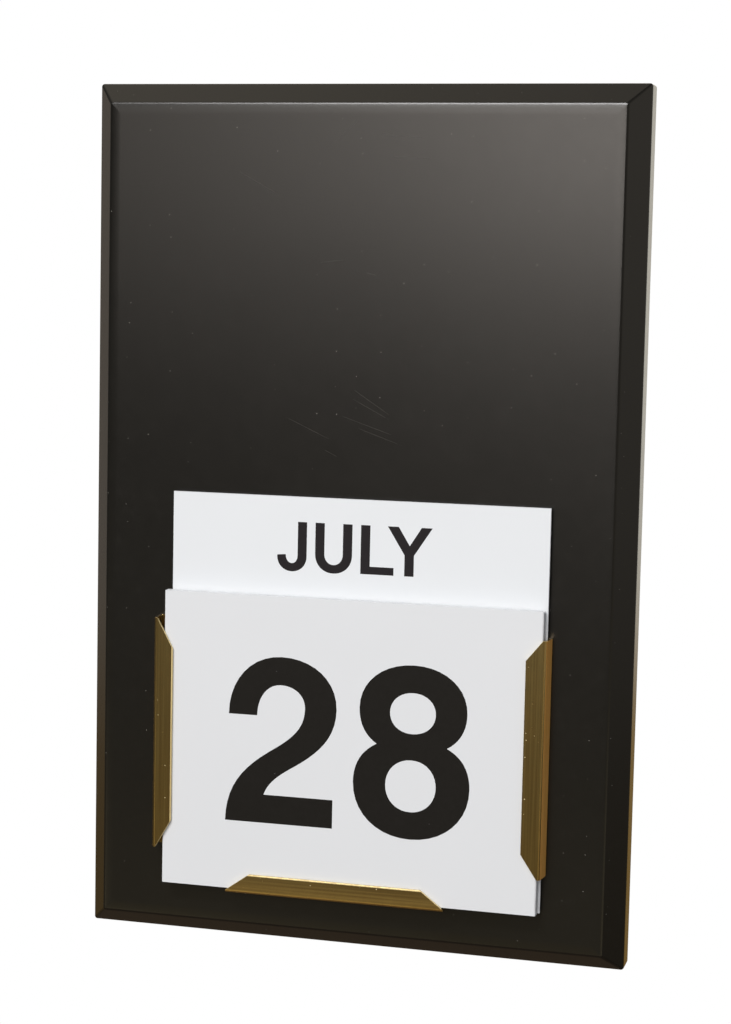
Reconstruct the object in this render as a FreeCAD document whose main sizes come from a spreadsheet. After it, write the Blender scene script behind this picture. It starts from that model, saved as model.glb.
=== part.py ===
import FreeCAD, Part
import math
import os
import Sketcher

"""Perpetual wall calendar: a bevelled plaque whose brass rails hold two packs of loose cards.

Frame: millimetres, +Z up, +Y into the wall. The origin is the middle of the plaque's flat back,
so the plaque faces -Y. A depth here is a distance from the wall towards the room. Each piece is
drawn about its own origin, and its Placement puts it on the plaque.
"""

SIZES = {
    # Plaque
    "board_width": 197.0,
    "board_height": 305.0,
    "side_depth": 9.2,
    "bevel_depth": 8.8,
    "bevel_width": 7.4,
    "edge_round": 1.5,
    # Cards, loose and printed on both sides
    "card_width": 135.5,
    "day_height": 105.8,
    "month_height": 140.8,
    "card_thick": 0.2,
    "card_gap": 0.02,
    "pack_gap": 0.7,
    "card_stand": 0.5,
    "day_fan": 0.4,
    "month_fan": 0.1,
    "day_side_gap": 0.5,
    "month_side_gap": 0.3,
    # Brass rails: a lip in front of the cards, a wider leg behind them that is screwed down
    "rail_thick": 0.9,
    "rail_bend": 0.2,
    "rail_leg": 12.6,
    "rails_shift": 0.3,
    "side_play": 2.85,
    "front_play": 0.3,
    "back_play": 0.4,
    "seat_height": 20.3,
    # Side rails, whose webs lean over the cards, and the cuts at the ends of their lips
    "side_rail_length": 83.1,
    "side_rail_rise": 13.4,
    "side_lip": 6.9,
    "side_lean": 1.0,
    "side_inset": 1.1,
    "left_low_cut": 10.1,
    "left_high_cut": 10.8,
    "right_low_cut": 8.6,
    "right_high_cut": 7.1,
    # Bottom rail, with an upright web
    "bottom_rail_length": 79.4,
    "bottom_rail_shift": -3.0,
    "bottom_lip": 7.1,
    "bottom_inset": 0.9,
    "bottom_left_cut": 8.6,
    "bottom_right_cut": 8.3,
    # Countersunk screws of the rails
    "rail_screw_shank": 2.0,
    "rail_screw_length": 9.0,
    "rail_screw_slot": 0.5,
    "rail_screw_inset": 14.0,
    "rail_screw_edge": 2.8,
    # Keyhole hanger, let in flush with the plaque's back
    "hanger_drop": 44.5,
    "hanger_length": 44.0,
    "hanger_width": 16.0,
    "hanger_thick": 1.5,
    "hanger_corner": 2.7,
    "keyhole_entry": 9.5,
    "keyhole_slot": 4.6,
    "keyhole_rise": 11.0,
    "hanger_play": 0.3,
    "head_play": 1.25,
    "head_depth": 8.0,
    # Countersunk screws of the hanger
    "hanger_screw_shank": 3.0,
    "hanger_screw_length": 12.0,
    "hanger_screw_slot": 0.9,
    "hanger_screw_inset": 5.0,
    # Fit of every screw
    "screw_sink": 0.05,
    "screw_play": 0.06,
    "pilot_spare": 0.8,
}
DAY_CARDS = 16
MONTH_CARDS = 6
FAN_TURN = 137.5
OVERSHOOT = 1.0
NEAR = 1e-4

# Expressions over the sheet that more than one piece uses
FACE = "(Sizes.side_depth + Sizes.bevel_depth)"
PITCH = "(Sizes.card_thick + Sizes.card_gap)"
DAY_PACK = f"({DAY_CARDS} * {PITCH} - Sizes.card_gap)"
MONTH_PACK = f"({MONTH_CARDS} * {PITCH} - Sizes.card_gap)"
CARDS_AND_PLAY = f"(Sizes.front_play + {DAY_PACK} + Sizes.pack_gap + {MONTH_PACK} + Sizes.back_play)"
RAIL_DEPTH = f"({CARDS_AND_PLAY} + 2 * Sizes.rail_thick)"
DAY_FRONT = f"({FACE} + {RAIL_DEPTH} - Sizes.rail_thick - Sizes.front_play)"
MONTH_FRONT = f"({DAY_FRONT} - {DAY_PACK} - Sizes.pack_gap)"
SEAT = "(Sizes.seat_height - Sizes.board_height / 2)"
RAIL_REACH = "(Sizes.card_width / 2 + Sizes.side_play + Sizes.rail_thick)"
RAIL_SCREW_LINE = "(Sizes.rail_leg - Sizes.rail_screw_edge)"
SIDE_MIDDLE = f"({SEAT} + Sizes.side_rail_rise + Sizes.side_rail_length / 2)"
BOTTOM_MIDDLE = "(Sizes.rails_shift + Sizes.bottom_rail_shift)"
BOTTOM_FOOT = f"({SEAT} - Sizes.rail_thick)"
HANGER_MIDDLE = "(Sizes.board_height / 2 - Sizes.hanger_drop)"
KEYHOLE_LOW = "(Sizes.keyhole_rise / -2)"
KEYHOLE_HIGH = "(Sizes.keyhole_rise / 2)"
RAIL_SCREW_HEAD = "(Sizes.rail_thick - Sizes.screw_sink)"
HANGER_SCREW_HEAD = "(Sizes.hanger_thick - Sizes.screw_sink)"

doc = FreeCAD.newDocument("wall_calendar")
sheet = doc.addObject("Spreadsheet::Sheet", "Sizes")
for row, (alias, size) in enumerate(SIZES.items(), start=1):
    sheet.set(f"A{row}", alias)
    sheet.set(f"B{row}", str(size))
    sheet.setAlias(f"B{row}", alias)
doc.recompute()


def number(expression):
    """The value of an expression over the sheet."""
    return float(sheet.evalExpression(expression))


def new_body(label, across="0", depth="0", up="0", axis=(0, 0, 1), angle=0):
    """A body with its own label, turned about an axis and set on the plaque."""
    body = doc.addObject("PartDesign::Body", label)
    turn = FreeCAD.Rotation(FreeCAD.Vector(*axis), angle)
    body.Placement = FreeCAD.Placement(FreeCAD.Vector(), turn)
    body.setExpression("Placement.Base.x", across)
    body.setExpression("Placement.Base.y", f"-1 * {depth}")
    body.setExpression("Placement.Base.z", up)
    return body


def new_sketch(body, name, role, offset="0"):
    """A sketch on one of the body's origin planes, moved along the plane's normal by an offset."""
    sketch = body.newObject("Sketcher::SketchObject", name)
    plane = next(feature for feature in body.Origin.OriginFeatures if feature.Role == role)
    sketch.AttachmentSupport = [(plane, "")]
    sketch.MapMode = "FlatFace"
    sketch.setExpression("AttachmentOffset.Base.z", offset)
    return sketch


def bind(sketch, constraint, name, expression):
    """Adds a dimension to a sketch and ties it to an expression."""
    sketch.renameConstraint(sketch.addConstraint(constraint), name)
    sketch.setExpression(f"Constraints.{name}", expression)


def pin(sketch, geometry, point, across, up):
    """Ties a point of a sketch's geometry to a pair of expressions from the sketch's origin."""
    for kind, expression in (("DistanceX", across), ("DistanceY", up)):
        place = Sketcher.Constraint(kind, -1, 1, geometry, point, number(expression))
        bind(sketch, place, f"{kind}_{geometry}_{point}", expression)


def draw_outline(sketch, corners):
    """A closed run of straight lines through corners, each a pair of expressions."""
    points = [FreeCAD.Vector(number(across), number(up), 0) for across, up in corners]
    first = sketch.GeometryCount
    count = len(corners)
    for index in range(count):
        sketch.addGeometry(Part.LineSegment(points[index], points[(index + 1) % count]), False)
    for index in range(count):
        following = first + (index + 1) % count
        sketch.addConstraint(Sketcher.Constraint("Coincident", first + index, 2, following, 1))
    for index, (across, up) in enumerate(corners):
        pin(sketch, first + index, 1, across, up)


def draw_rectangle(sketch, half_width, low, high):
    """A rectangle about the sketch's upright axis, between two heights."""
    draw_outline(
        sketch,
        [
            (f"-1 * {half_width}", low),
            (half_width, low),
            (half_width, high),
            (f"-1 * {half_width}", high),
        ],
    )


def draw_circle(sketch, across, up, diameter):
    """A circle about a point."""
    centre = FreeCAD.Vector(number(across), number(up), 0)
    circle = Part.Circle(centre, FreeCAD.Vector(0, 0, 1), number(diameter) / 2)
    index = sketch.addGeometry(circle, False)
    pin(sketch, index, 3, across, up)
    bind(sketch, Sketcher.Constraint("Diameter", index, number(diameter)), f"bore_{index}", diameter)


def draw_slot(sketch, low, high, width):
    """An upright round-ended slot on the sketch's upright axis, between its ends' centres."""
    normal = FreeCAD.Vector(0, 0, 1)
    radius = number(width) / 2
    bottom = FreeCAD.Vector(0, number(low), 0)
    top = FreeCAD.Vector(0, number(high), 0)
    side = FreeCAD.Vector(radius, 0, 0)
    lower = Part.ArcOfCircle(Part.Circle(bottom, normal, radius), math.pi, 2 * math.pi)
    upper = Part.ArcOfCircle(Part.Circle(top, normal, radius), 0, math.pi)
    for piece in (
        lower,
        Part.LineSegment(bottom + side, top + side),
        upper,
        Part.LineSegment(top - side, bottom - side),
    ):
        sketch.addGeometry(piece, False)
    for joined in ((0, 2, 1, 1), (1, 2, 2, 1), (2, 2, 3, 1), (3, 2, 0, 1)):
        sketch.addConstraint(Sketcher.Constraint("Tangent", *joined))
    sketch.addConstraint(Sketcher.Constraint("Equal", 0, 2))
    pin(sketch, 0, 3, "0", low)
    pin(sketch, 2, 3, "0", high)
    bind(sketch, Sketcher.Constraint("Radius", 0, radius), "end_radius", f"{width} / 2")


def add_pad(body, name, sketch, length):
    """Material from a sketch's plane along its normal."""
    pad = body.newObject("PartDesign::Pad", name)
    pad.Profile = sketch
    pad.setExpression("Length", length)
    doc.recompute()


def cut_pocket(body, name, sketch, length, along_normal=False):
    """A pocket from a sketch's plane against its normal, or along it."""
    before = body.Shape.Volume
    pocket = body.newObject("PartDesign::Pocket", name)
    pocket.Profile = sketch
    pocket.setExpression("Length", length)
    pocket.Reversed = along_normal
    doc.recompute()
    if before - body.Shape.Volume < NEAR:
        raise RuntimeError(f"{name} cuts nothing from {body.Label}")


def drill(body, name, sketch, diameter, depth, along_normal=False, mouth=None):
    """Plain or countersunk holes at a sketch's circles, to a depth below the sketch's plane."""
    doc.recompute()
    before = body.Shape.Volume
    hole = body.newObject("PartDesign::Hole", name)
    hole.Profile = sketch
    hole.ThreadType = "None"
    hole.DepthType = "Dimension"
    hole.DrillPoint = "Flat"
    hole.Reversed = along_normal
    hole.setExpression("Diameter", diameter)
    hole.setExpression("Depth", depth)
    if mouth:
        hole.HoleCutType = "Countersink"
        hole.HoleCutCustomValues = True
        hole.HoleCutCountersinkAngle = 90
        hole.setExpression("HoleCutDiameter", mouth)
    doc.recompute()
    if before - body.Shape.Volume < NEAR:
        raise RuntimeError(f"{name} cuts nothing from {body.Label}")


def edges_where(feature, wanted):
    """The names of a feature's edges whose two ends pass a test."""
    return [
        f"Edge{index}"
        for index, edge in enumerate(feature.Shape.Edges, start=1)
        if len(edge.Vertexes) == 2 and wanted(edge.Vertexes[0].Point, edge.Vertexes[1].Point)
    ]


def round_edges(body, name, radius, wanted):
    """A fillet on the edges of the body whose two ends pass a test."""
    tip = body.Tip
    fillet = body.newObject("PartDesign::Fillet", name)
    fillet.Base = (tip, edges_where(tip, wanted))
    fillet.setExpression("Radius", radius)
    doc.recompute()


def along_depth(start, end):
    """Whether an edge runs straight from the wall towards the room."""
    return abs(start.x - end.x) < NEAR and abs(start.z - end.z) < NEAR


def screw_places(length, inset):
    """The two places of a long piece's screws along it, measured from its middle."""
    return f"({inset} - {length} / 2)", f"({length} / 2 - {inset})"


def make_backboard():
    """The plaque, with the hanger's recess in its back and blind holes for all the screws."""
    body = new_body("backboard")
    outline = new_sketch(body, "outline", "XZ_Plane")
    half_height = "Sizes.board_height / 2"
    draw_rectangle(outline, "Sizes.board_width / 2", f"-1 * {half_height}", half_height)
    add_pad(body, "plaque", outline, FACE)
    tip = body.Tip
    bevel = body.newObject("PartDesign::Chamfer", "bevel")
    front = number(f"-1 * {FACE}")
    bevel.Base = (tip, edges_where(tip, lambda start, end: max(start.y, end.y) < front + NEAR))
    bevel.ChamferType = "Two distances"
    bevel.setExpression("Size", "Sizes.bevel_depth")
    bevel.setExpression("Size2", "Sizes.bevel_width")
    doc.recompute()
    round_edges(body, "edges", "Sizes.edge_round", lambda start, end: min(start.y, end.y) < -NEAR)

    recess = new_sketch(body, "recess_outline", "XZ_Plane")
    half_width = "(Sizes.hanger_width / 2 + Sizes.hanger_play)"
    half_length = "(Sizes.hanger_length / 2 + Sizes.hanger_play)"
    low, high = (f"{HANGER_MIDDLE} {sign} {half_length}" for sign in "-+")
    draw_rectangle(recess, half_width, low, high)
    cut_pocket(body, "recess", recess, "Sizes.hanger_thick", along_normal=True)
    reach = number(half_width)
    round_edges(
        body,
        "recess_corners",
        "Sizes.hanger_corner + Sizes.hanger_play",
        lambda start, end: along_depth(start, end) and abs(abs(start.x) - reach) < NEAR,
    )
    room = new_sketch(body, "head_room_outline", "XZ_Plane", "Sizes.hanger_thick")
    low, high = (f"{HANGER_MIDDLE} + {end}" for end in (KEYHOLE_LOW, KEYHOLE_HIGH))
    draw_slot(room, low, high, "(Sizes.keyhole_entry + 2 * Sizes.head_play)")
    cut_pocket(body, "head_room", room, "Sizes.head_depth", along_normal=True)
    behind = new_sketch(body, "hanger_pilots", "XZ_Plane", "Sizes.hanger_thick")
    bore = "Sizes.hanger_screw_shank + 2 * Sizes.screw_play"
    for place in screw_places("Sizes.hanger_length", "Sizes.hanger_screw_inset"):
        draw_circle(behind, "0", f"{HANGER_MIDDLE} + {place}", bore)
    depth = f"Sizes.hanger_screw_length - {HANGER_SCREW_HEAD} + Sizes.pilot_spare"
    drill(body, "hanger_pilot_holes", behind, bore, depth, along_normal=True)

    front = new_sketch(body, "rail_pilots", "XZ_Plane", FACE)
    bore = "Sizes.rail_screw_shank + 2 * Sizes.screw_play"
    for place in screw_places("Sizes.side_rail_length", "Sizes.rail_screw_inset"):
        for side in ("-1", "1"):
            across = f"Sizes.rails_shift + {side} * ({RAIL_REACH} - {RAIL_SCREW_LINE})"
            draw_circle(front, across, f"{SIDE_MIDDLE} + {place}", bore)
    for place in screw_places("Sizes.bottom_rail_length", "Sizes.rail_screw_inset"):
        up = f"{BOTTOM_FOOT} + {RAIL_SCREW_LINE}"
        draw_circle(front, f"{BOTTOM_MIDDLE} + {place}", up, bore)
    depth = f"Sizes.rail_screw_length - {RAIL_SCREW_HEAD} + Sizes.pilot_spare"
    drill(body, "rail_pilot_holes", front, bore, depth)
    return body


def make_rail(label, length, lip, lean, inset, cuts, **place):
    """A rail of bent sheet whose web stands on its own X = 0, with the cards on the +X side.

    Its leg lies on the plaque and its lip is in front of the cards. The web leans over the cards
    by a lean, and a cut at each end takes the lip back to an inset from the fold.
    """
    body = new_body(label, depth=FACE, **place)
    section = new_sketch(body, "section", "XY_Plane", f"{length} / -2")
    front = f"-1 * {RAIL_DEPTH}"
    leg_top = "-1 * Sizes.rail_thick"
    lip_back = f"({front} + Sizes.rail_thick)"
    lip_edge = f"{lean} + {lip}"
    outer_corners = [("0", "0"), (lean, front)]
    inner_corners = [
        (f"Sizes.rail_thick + {lean} * {up} / ({front})", up) for up in (lip_back, leg_top)
    ]
    draw_outline(
        section,
        [
            *outer_corners,
            (lip_edge, front),
            (lip_edge, lip_back),
            *inner_corners,
            ("Sizes.rail_leg", leg_top),
            ("Sizes.rail_leg", "0"),
        ],
    )
    add_pad(body, "channel", section, length)
    for name, radius, corners in (
        ("inner_bends", "Sizes.rail_bend", inner_corners),
        ("outer_bends", "Sizes.rail_bend + Sizes.rail_thick", outer_corners),
    ):
        round_edges(
            body,
            name,
            radius,
            lambda start, end, at=corners: abs(start.z - end.z) > NEAR
            and any(math.hypot(start.x - number(x), start.y - number(y)) < NEAR for x, y in at),
        )
    ends = new_sketch(body, "lip_ends", "XZ_Plane", RAIL_DEPTH)
    kept = f"{lean} + {inset}"
    beyond = f"{lip_edge} + {OVERSHOOT}"
    for side, cut in zip(("-1", "1"), cuts):
        end = f"{side} * {length} / 2"
        start = f"{side} * ({length} / 2 - {cut})"
        past = f"{side} * ({length} / 2 + {OVERSHOOT})"
        draw_outline(
            ends, [(kept, end), (lip_edge, start), (beyond, start), (beyond, past), (kept, past)]
        )
    cut_pocket(body, "lip_cuts", ends, "Sizes.rail_thick + Sizes.rail_bend")
    holes = new_sketch(body, "leg_holes", "XZ_Plane", "Sizes.rail_thick")
    bore = "Sizes.rail_screw_shank + 2 * Sizes.screw_play"
    for up in screw_places(length, "Sizes.rail_screw_inset"):
        draw_circle(holes, RAIL_SCREW_LINE, up, bore)
    mouth = f"{bore} + 2 * Sizes.rail_thick"
    drill(body, "leg_countersinks", holes, bore, "2 * Sizes.rail_thick", mouth=mouth)
    return body


def make_screws(label, places, shank, length, head, slot, cross=False, line="0", **place):
    """Equal countersunk screws on a line along Z, with heads that look along -Y."""
    body = new_body(label, **place)
    radius = f"{shank} / 2"
    long_side = f"{radius} + {head} / 2"
    short_side = f"{slot} / 2"
    arms = [(long_side, short_side), (short_side, long_side)] if cross else [(long_side, short_side)]
    for index, up in enumerate(places, start=1):
        profile = new_sketch(body, f"profile_{index}", "XY_Plane", up)
        profile.setExpression("AttachmentOffset.Base.x", line)
        draw_outline(
            profile,
            [
                ("0", "0"),
                (f"{radius} + {head}", "0"),
                (radius, head),
                (radius, f"{length} - {shank}"),
                ("0", length),
            ],
        )
        screw = body.newObject("PartDesign::Revolution", f"screw_{index}")
        screw.Profile = profile
        screw.ReferenceAxis = (profile, ["V_Axis"])
        screw.Angle = 360
        doc.recompute()
        for across, along in arms:
            drive = new_sketch(body, f"drive_{index}", "XZ_Plane")
            draw_outline(
                drive,
                [
                    (f"{line} - ({across})", f"{up} - ({along})"),
                    (f"{line} + ({across})", f"{up} - ({along})"),
                    (f"{line} + ({across})", f"{up} + ({along})"),
                    (f"{line} - ({across})", f"{up} + ({along})"),
                ],
            )
            cut_pocket(body, f"drive_slot_{index}", drive, slot)
    return body


def make_hanger():
    """The keyhole plate: a screw's head enters the round end and is caught behind the slot."""
    body = new_body("hanger_plate", up=HANGER_MIDDLE)
    outline = new_sketch(body, "outline", "XZ_Plane")
    half_length = "Sizes.hanger_length / 2"
    draw_rectangle(outline, "Sizes.hanger_width / 2", f"-1 * {half_length}", half_length)
    add_pad(body, "plate", outline, "Sizes.hanger_thick")
    round_edges(body, "corners", "Sizes.hanger_corner", along_depth)
    slot = new_sketch(body, "slot_outline", "XZ_Plane")
    draw_slot(slot, KEYHOLE_LOW, KEYHOLE_HIGH, "Sizes.keyhole_slot")
    cut_pocket(body, "slot", slot, "Sizes.hanger_thick", along_normal=True)
    entry = new_sketch(body, "entry_outline", "XZ_Plane")
    draw_circle(entry, "0", KEYHOLE_LOW, "Sizes.keyhole_entry")
    cut_pocket(body, "entry", entry, "Sizes.hanger_thick", along_normal=True)
    holes = new_sketch(body, "screw_holes", "XZ_Plane")
    bore = "Sizes.hanger_screw_shank + 2 * Sizes.screw_play"
    for up in screw_places("Sizes.hanger_length", "Sizes.hanger_screw_inset"):
        draw_circle(holes, "0", up, bore)
    mouth = f"{bore} + 2 * Sizes.hanger_thick"
    depth = "2 * Sizes.hanger_thick"
    drill(body, "countersinks", holes, bore, depth, along_normal=True, mouth=mouth)
    return body


def make_card(label, height, front, fan, side_gap, index):
    """One loose card, standing in the bottom rail behind the cards of lower index.

    The rail's bend keeps it a little above the seat. Its pack lies near the right rail's leaning
    web, and the cards stand a little apart to the left and right.
    """
    web = f"Sizes.side_play - Sizes.side_lean * ({front} - {FACE}) / {RAIL_DEPTH}"
    across = f"Sizes.rails_shift + {web} - {side_gap} + {fan} * (sin({index * FAN_TURN}) - 1)"
    back = f"({front} - {index} * {PITCH} - Sizes.card_thick)"
    body = new_body(label, across=across, depth=back, up=f"{SEAT} + Sizes.card_stand")
    outline = new_sketch(body, "outline", "XZ_Plane")
    draw_rectangle(outline, "Sizes.card_width / 2", "0", height)
    add_pad(body, "card", outline, "Sizes.card_thick")
    return body


bodies = [make_backboard(), make_hanger()]

side_shape = ("Sizes.side_lip", "Sizes.side_lean", "Sizes.side_inset")
for name, length, shape, cuts, place in (
    (
        "left_rail",
        "Sizes.side_rail_length",
        side_shape,
        ("Sizes.left_low_cut", "Sizes.left_high_cut"),
        {"across": f"Sizes.rails_shift - {RAIL_REACH}", "up": SIDE_MIDDLE},
    ),
    (
        "right_rail",
        "Sizes.side_rail_length",
        side_shape,
        ("Sizes.right_high_cut", "Sizes.right_low_cut"),
        {
            "across": f"Sizes.rails_shift + {RAIL_REACH}",
            "up": SIDE_MIDDLE,
            "axis": (0, 1, 0),
            "angle": 180,
        },
    ),
    (
        "bottom_rail",
        "Sizes.bottom_rail_length",
        ("Sizes.bottom_lip", "0", "Sizes.bottom_inset"),
        ("Sizes.bottom_right_cut", "Sizes.bottom_left_cut"),
        {"across": BOTTOM_MIDDLE, "up": BOTTOM_FOOT, "axis": (0, 1, 0), "angle": -90},
    ),
):
    bodies.append(make_rail(name, length, *shape, cuts, **place))
    bodies.append(
        make_screws(
            f"{name}_screws",
            screw_places(length, "Sizes.rail_screw_inset"),
            "Sizes.rail_screw_shank",
            "Sizes.rail_screw_length",
            RAIL_SCREW_HEAD,
            "Sizes.rail_screw_slot",
            line=RAIL_SCREW_LINE,
            depth=f"({FACE} + {RAIL_SCREW_HEAD})",
            **place,
        )
    )

bodies.append(
    make_screws(
        "hanger_screws",
        screw_places("Sizes.hanger_length", "Sizes.hanger_screw_inset"),
        "Sizes.hanger_screw_shank",
        "Sizes.hanger_screw_length",
        HANGER_SCREW_HEAD,
        "Sizes.hanger_screw_slot",
        cross=True,
        depth="Sizes.screw_sink",
        up=HANGER_MIDDLE,
        angle=180,
    )
)

for card in range(DAY_CARDS):
    label = f"day_card_{card + 1:02d}"
    day = ("Sizes.day_height", DAY_FRONT, "Sizes.day_fan", "Sizes.day_side_gap")
    bodies.append(make_card(label, *day, card))
for card in range(MONTH_CARDS):
    label = f"month_card_{card + 1}"
    month = ("Sizes.month_height", MONTH_FRONT, "Sizes.month_fan", "Sizes.month_side_gap")
    bodies.append(make_card(label, *month, card))

doc.recompute()
failed = [item.Label for item in doc.Objects if {"Invalid", "Error"} & set(item.State)]
loose = [
    item.Label
    for item in doc.Objects
    if item.isDerivedFrom("Sketcher::SketchObject") and not item.FullyConstrained
]
broken = [body.Label for body in bodies if body.Shape.isNull() or not body.Shape.isValid()]
if failed or loose or broken:
    raise RuntimeError(f"failed {failed}, loose sketches {loose}, broken shapes {broken}")

os.makedirs("parts", exist_ok=True)
for body in bodies:
    body.Shape.exportStep(f"parts/{body.Label}.step")
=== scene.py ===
import logging
import math
from dataclasses import dataclass, field
from enum import Enum
from typing import Callable, Iterable, Optional, Union

import bmesh
import bpy
from mathutils import Matrix, Vector


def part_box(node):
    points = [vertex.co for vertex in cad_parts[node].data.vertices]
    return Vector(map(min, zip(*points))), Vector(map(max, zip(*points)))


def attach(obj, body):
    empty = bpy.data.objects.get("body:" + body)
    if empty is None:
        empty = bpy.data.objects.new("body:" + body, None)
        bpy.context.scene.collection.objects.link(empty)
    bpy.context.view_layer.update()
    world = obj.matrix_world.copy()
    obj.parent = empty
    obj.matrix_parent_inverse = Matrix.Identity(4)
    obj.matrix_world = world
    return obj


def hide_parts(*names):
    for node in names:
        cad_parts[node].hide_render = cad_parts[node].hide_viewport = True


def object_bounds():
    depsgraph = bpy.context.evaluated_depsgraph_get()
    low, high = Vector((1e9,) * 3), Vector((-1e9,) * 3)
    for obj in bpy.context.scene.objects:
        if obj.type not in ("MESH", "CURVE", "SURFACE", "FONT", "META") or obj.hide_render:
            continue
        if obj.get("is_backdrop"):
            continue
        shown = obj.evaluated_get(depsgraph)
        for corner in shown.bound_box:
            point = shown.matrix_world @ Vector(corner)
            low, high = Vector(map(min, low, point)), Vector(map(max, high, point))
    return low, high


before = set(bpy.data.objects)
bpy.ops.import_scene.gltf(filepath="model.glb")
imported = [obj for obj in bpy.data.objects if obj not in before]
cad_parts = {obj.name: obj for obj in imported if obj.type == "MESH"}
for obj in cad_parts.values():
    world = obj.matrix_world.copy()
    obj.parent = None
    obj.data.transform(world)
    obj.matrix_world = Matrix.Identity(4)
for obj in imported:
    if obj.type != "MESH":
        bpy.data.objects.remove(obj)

MM = 0.001
ROOT = "plaque"
# Depths that differ by less than this are the same
NEAR = 1e-6
# Corners that are closer together than this are one
JOINED = 1e-7
# How far every screw's head lies under the face round it
SCREW_SINK = 0.05 * MM
Colour = tuple[float, float, float]
# Each scratch's two ends on the plaque's face, as X and Z
SCRATCHES = (
    ((-0.0443, 0.1219), (-0.0285, 0.1135)), ((-0.0101, 0.1314), (-0.0014, 0.1392)),
    ((-0.0143, 0.0906), (-0.0043, 0.0918)), ((0.0026, 0.0875), (0.0065, 0.0866)),
    ((0.0069, 0.1345), (0.0237, 0.1333)), ((0.0113, 0.1271), (0.0250, 0.1265)),
    ((-0.0011, 0.0472), (0.0129, 0.0382)), ((-0.0015, 0.044), (0.0131, 0.0365)),
    ((-0.0054, 0.0379), (0.0149, 0.0312)), ((-0.0002, 0.0341), (0.0185, 0.0277)),
    ((-0.0264, 0.0372), (-0.0084, 0.0291)), ((-0.0111, 0.0258), (-0.0058, 0.0232)),
)
log = logging.getLogger("wall_calendar")


# Shader maths


class Value:
    """A shader node's output, which takes part in sums as a number does."""

    def __init__(self, shader: "Shader", socket: bpy.types.NodeSocket) -> None:
        """Args:
            shader: The material that the socket belongs to.
            socket: The output socket.
        """
        self.shader = shader
        self.socket = socket

    def _math(self, operation: str, *terms: "Term") -> "Value":
        """Adds one Math node.

        Args:
            operation: The node's operation.
            terms: Its inputs in order.

        Returns:
            The node's result.
        """
        return self.shader.node("ShaderNodeMath", {"operation": operation}, dict(enumerate(terms)))

    def __add__(self, other: "Term") -> "Value":
        """The sum."""
        return self._math("ADD", self, other)

    def __radd__(self, other: "Term") -> "Value":
        """The sum, with a number on the left."""
        return self._math("ADD", other, self)

    def __sub__(self, other: "Term") -> "Value":
        """The difference."""
        return self._math("SUBTRACT", self, other)

    def __rsub__(self, other: "Term") -> "Value":
        """The difference, with a number on the left."""
        return self._math("SUBTRACT", other, self)

    def __mul__(self, other: "Term") -> "Value":
        """The product."""
        return self._math("MULTIPLY", self, other)

    def __rmul__(self, other: "Term") -> "Value":
        """The product, with a number on the left."""
        return self._math("MULTIPLY", other, self)

    def __truediv__(self, other: "Term") -> "Value":
        """The quotient."""
        return self._math("DIVIDE", self, other)

    def __rtruediv__(self, other: "Term") -> "Value":
        """The quotient, with a number on the left."""
        return self._math("DIVIDE", other, self)

    def __pow__(self, other: "Term") -> "Value":
        """The power."""
        return self._math("POWER", self, other)

    def clamped(self) -> "Value":
        """The value held between 0 and 1."""
        return self.shader.node("ShaderNodeClamp", {}, {"Value": self})

    def larger(self, other: "Term") -> "Value":
        """The larger of two values."""
        return self._math("MAXIMUM", self, other)


Term = Union[Value, float, int, tuple]


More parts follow.
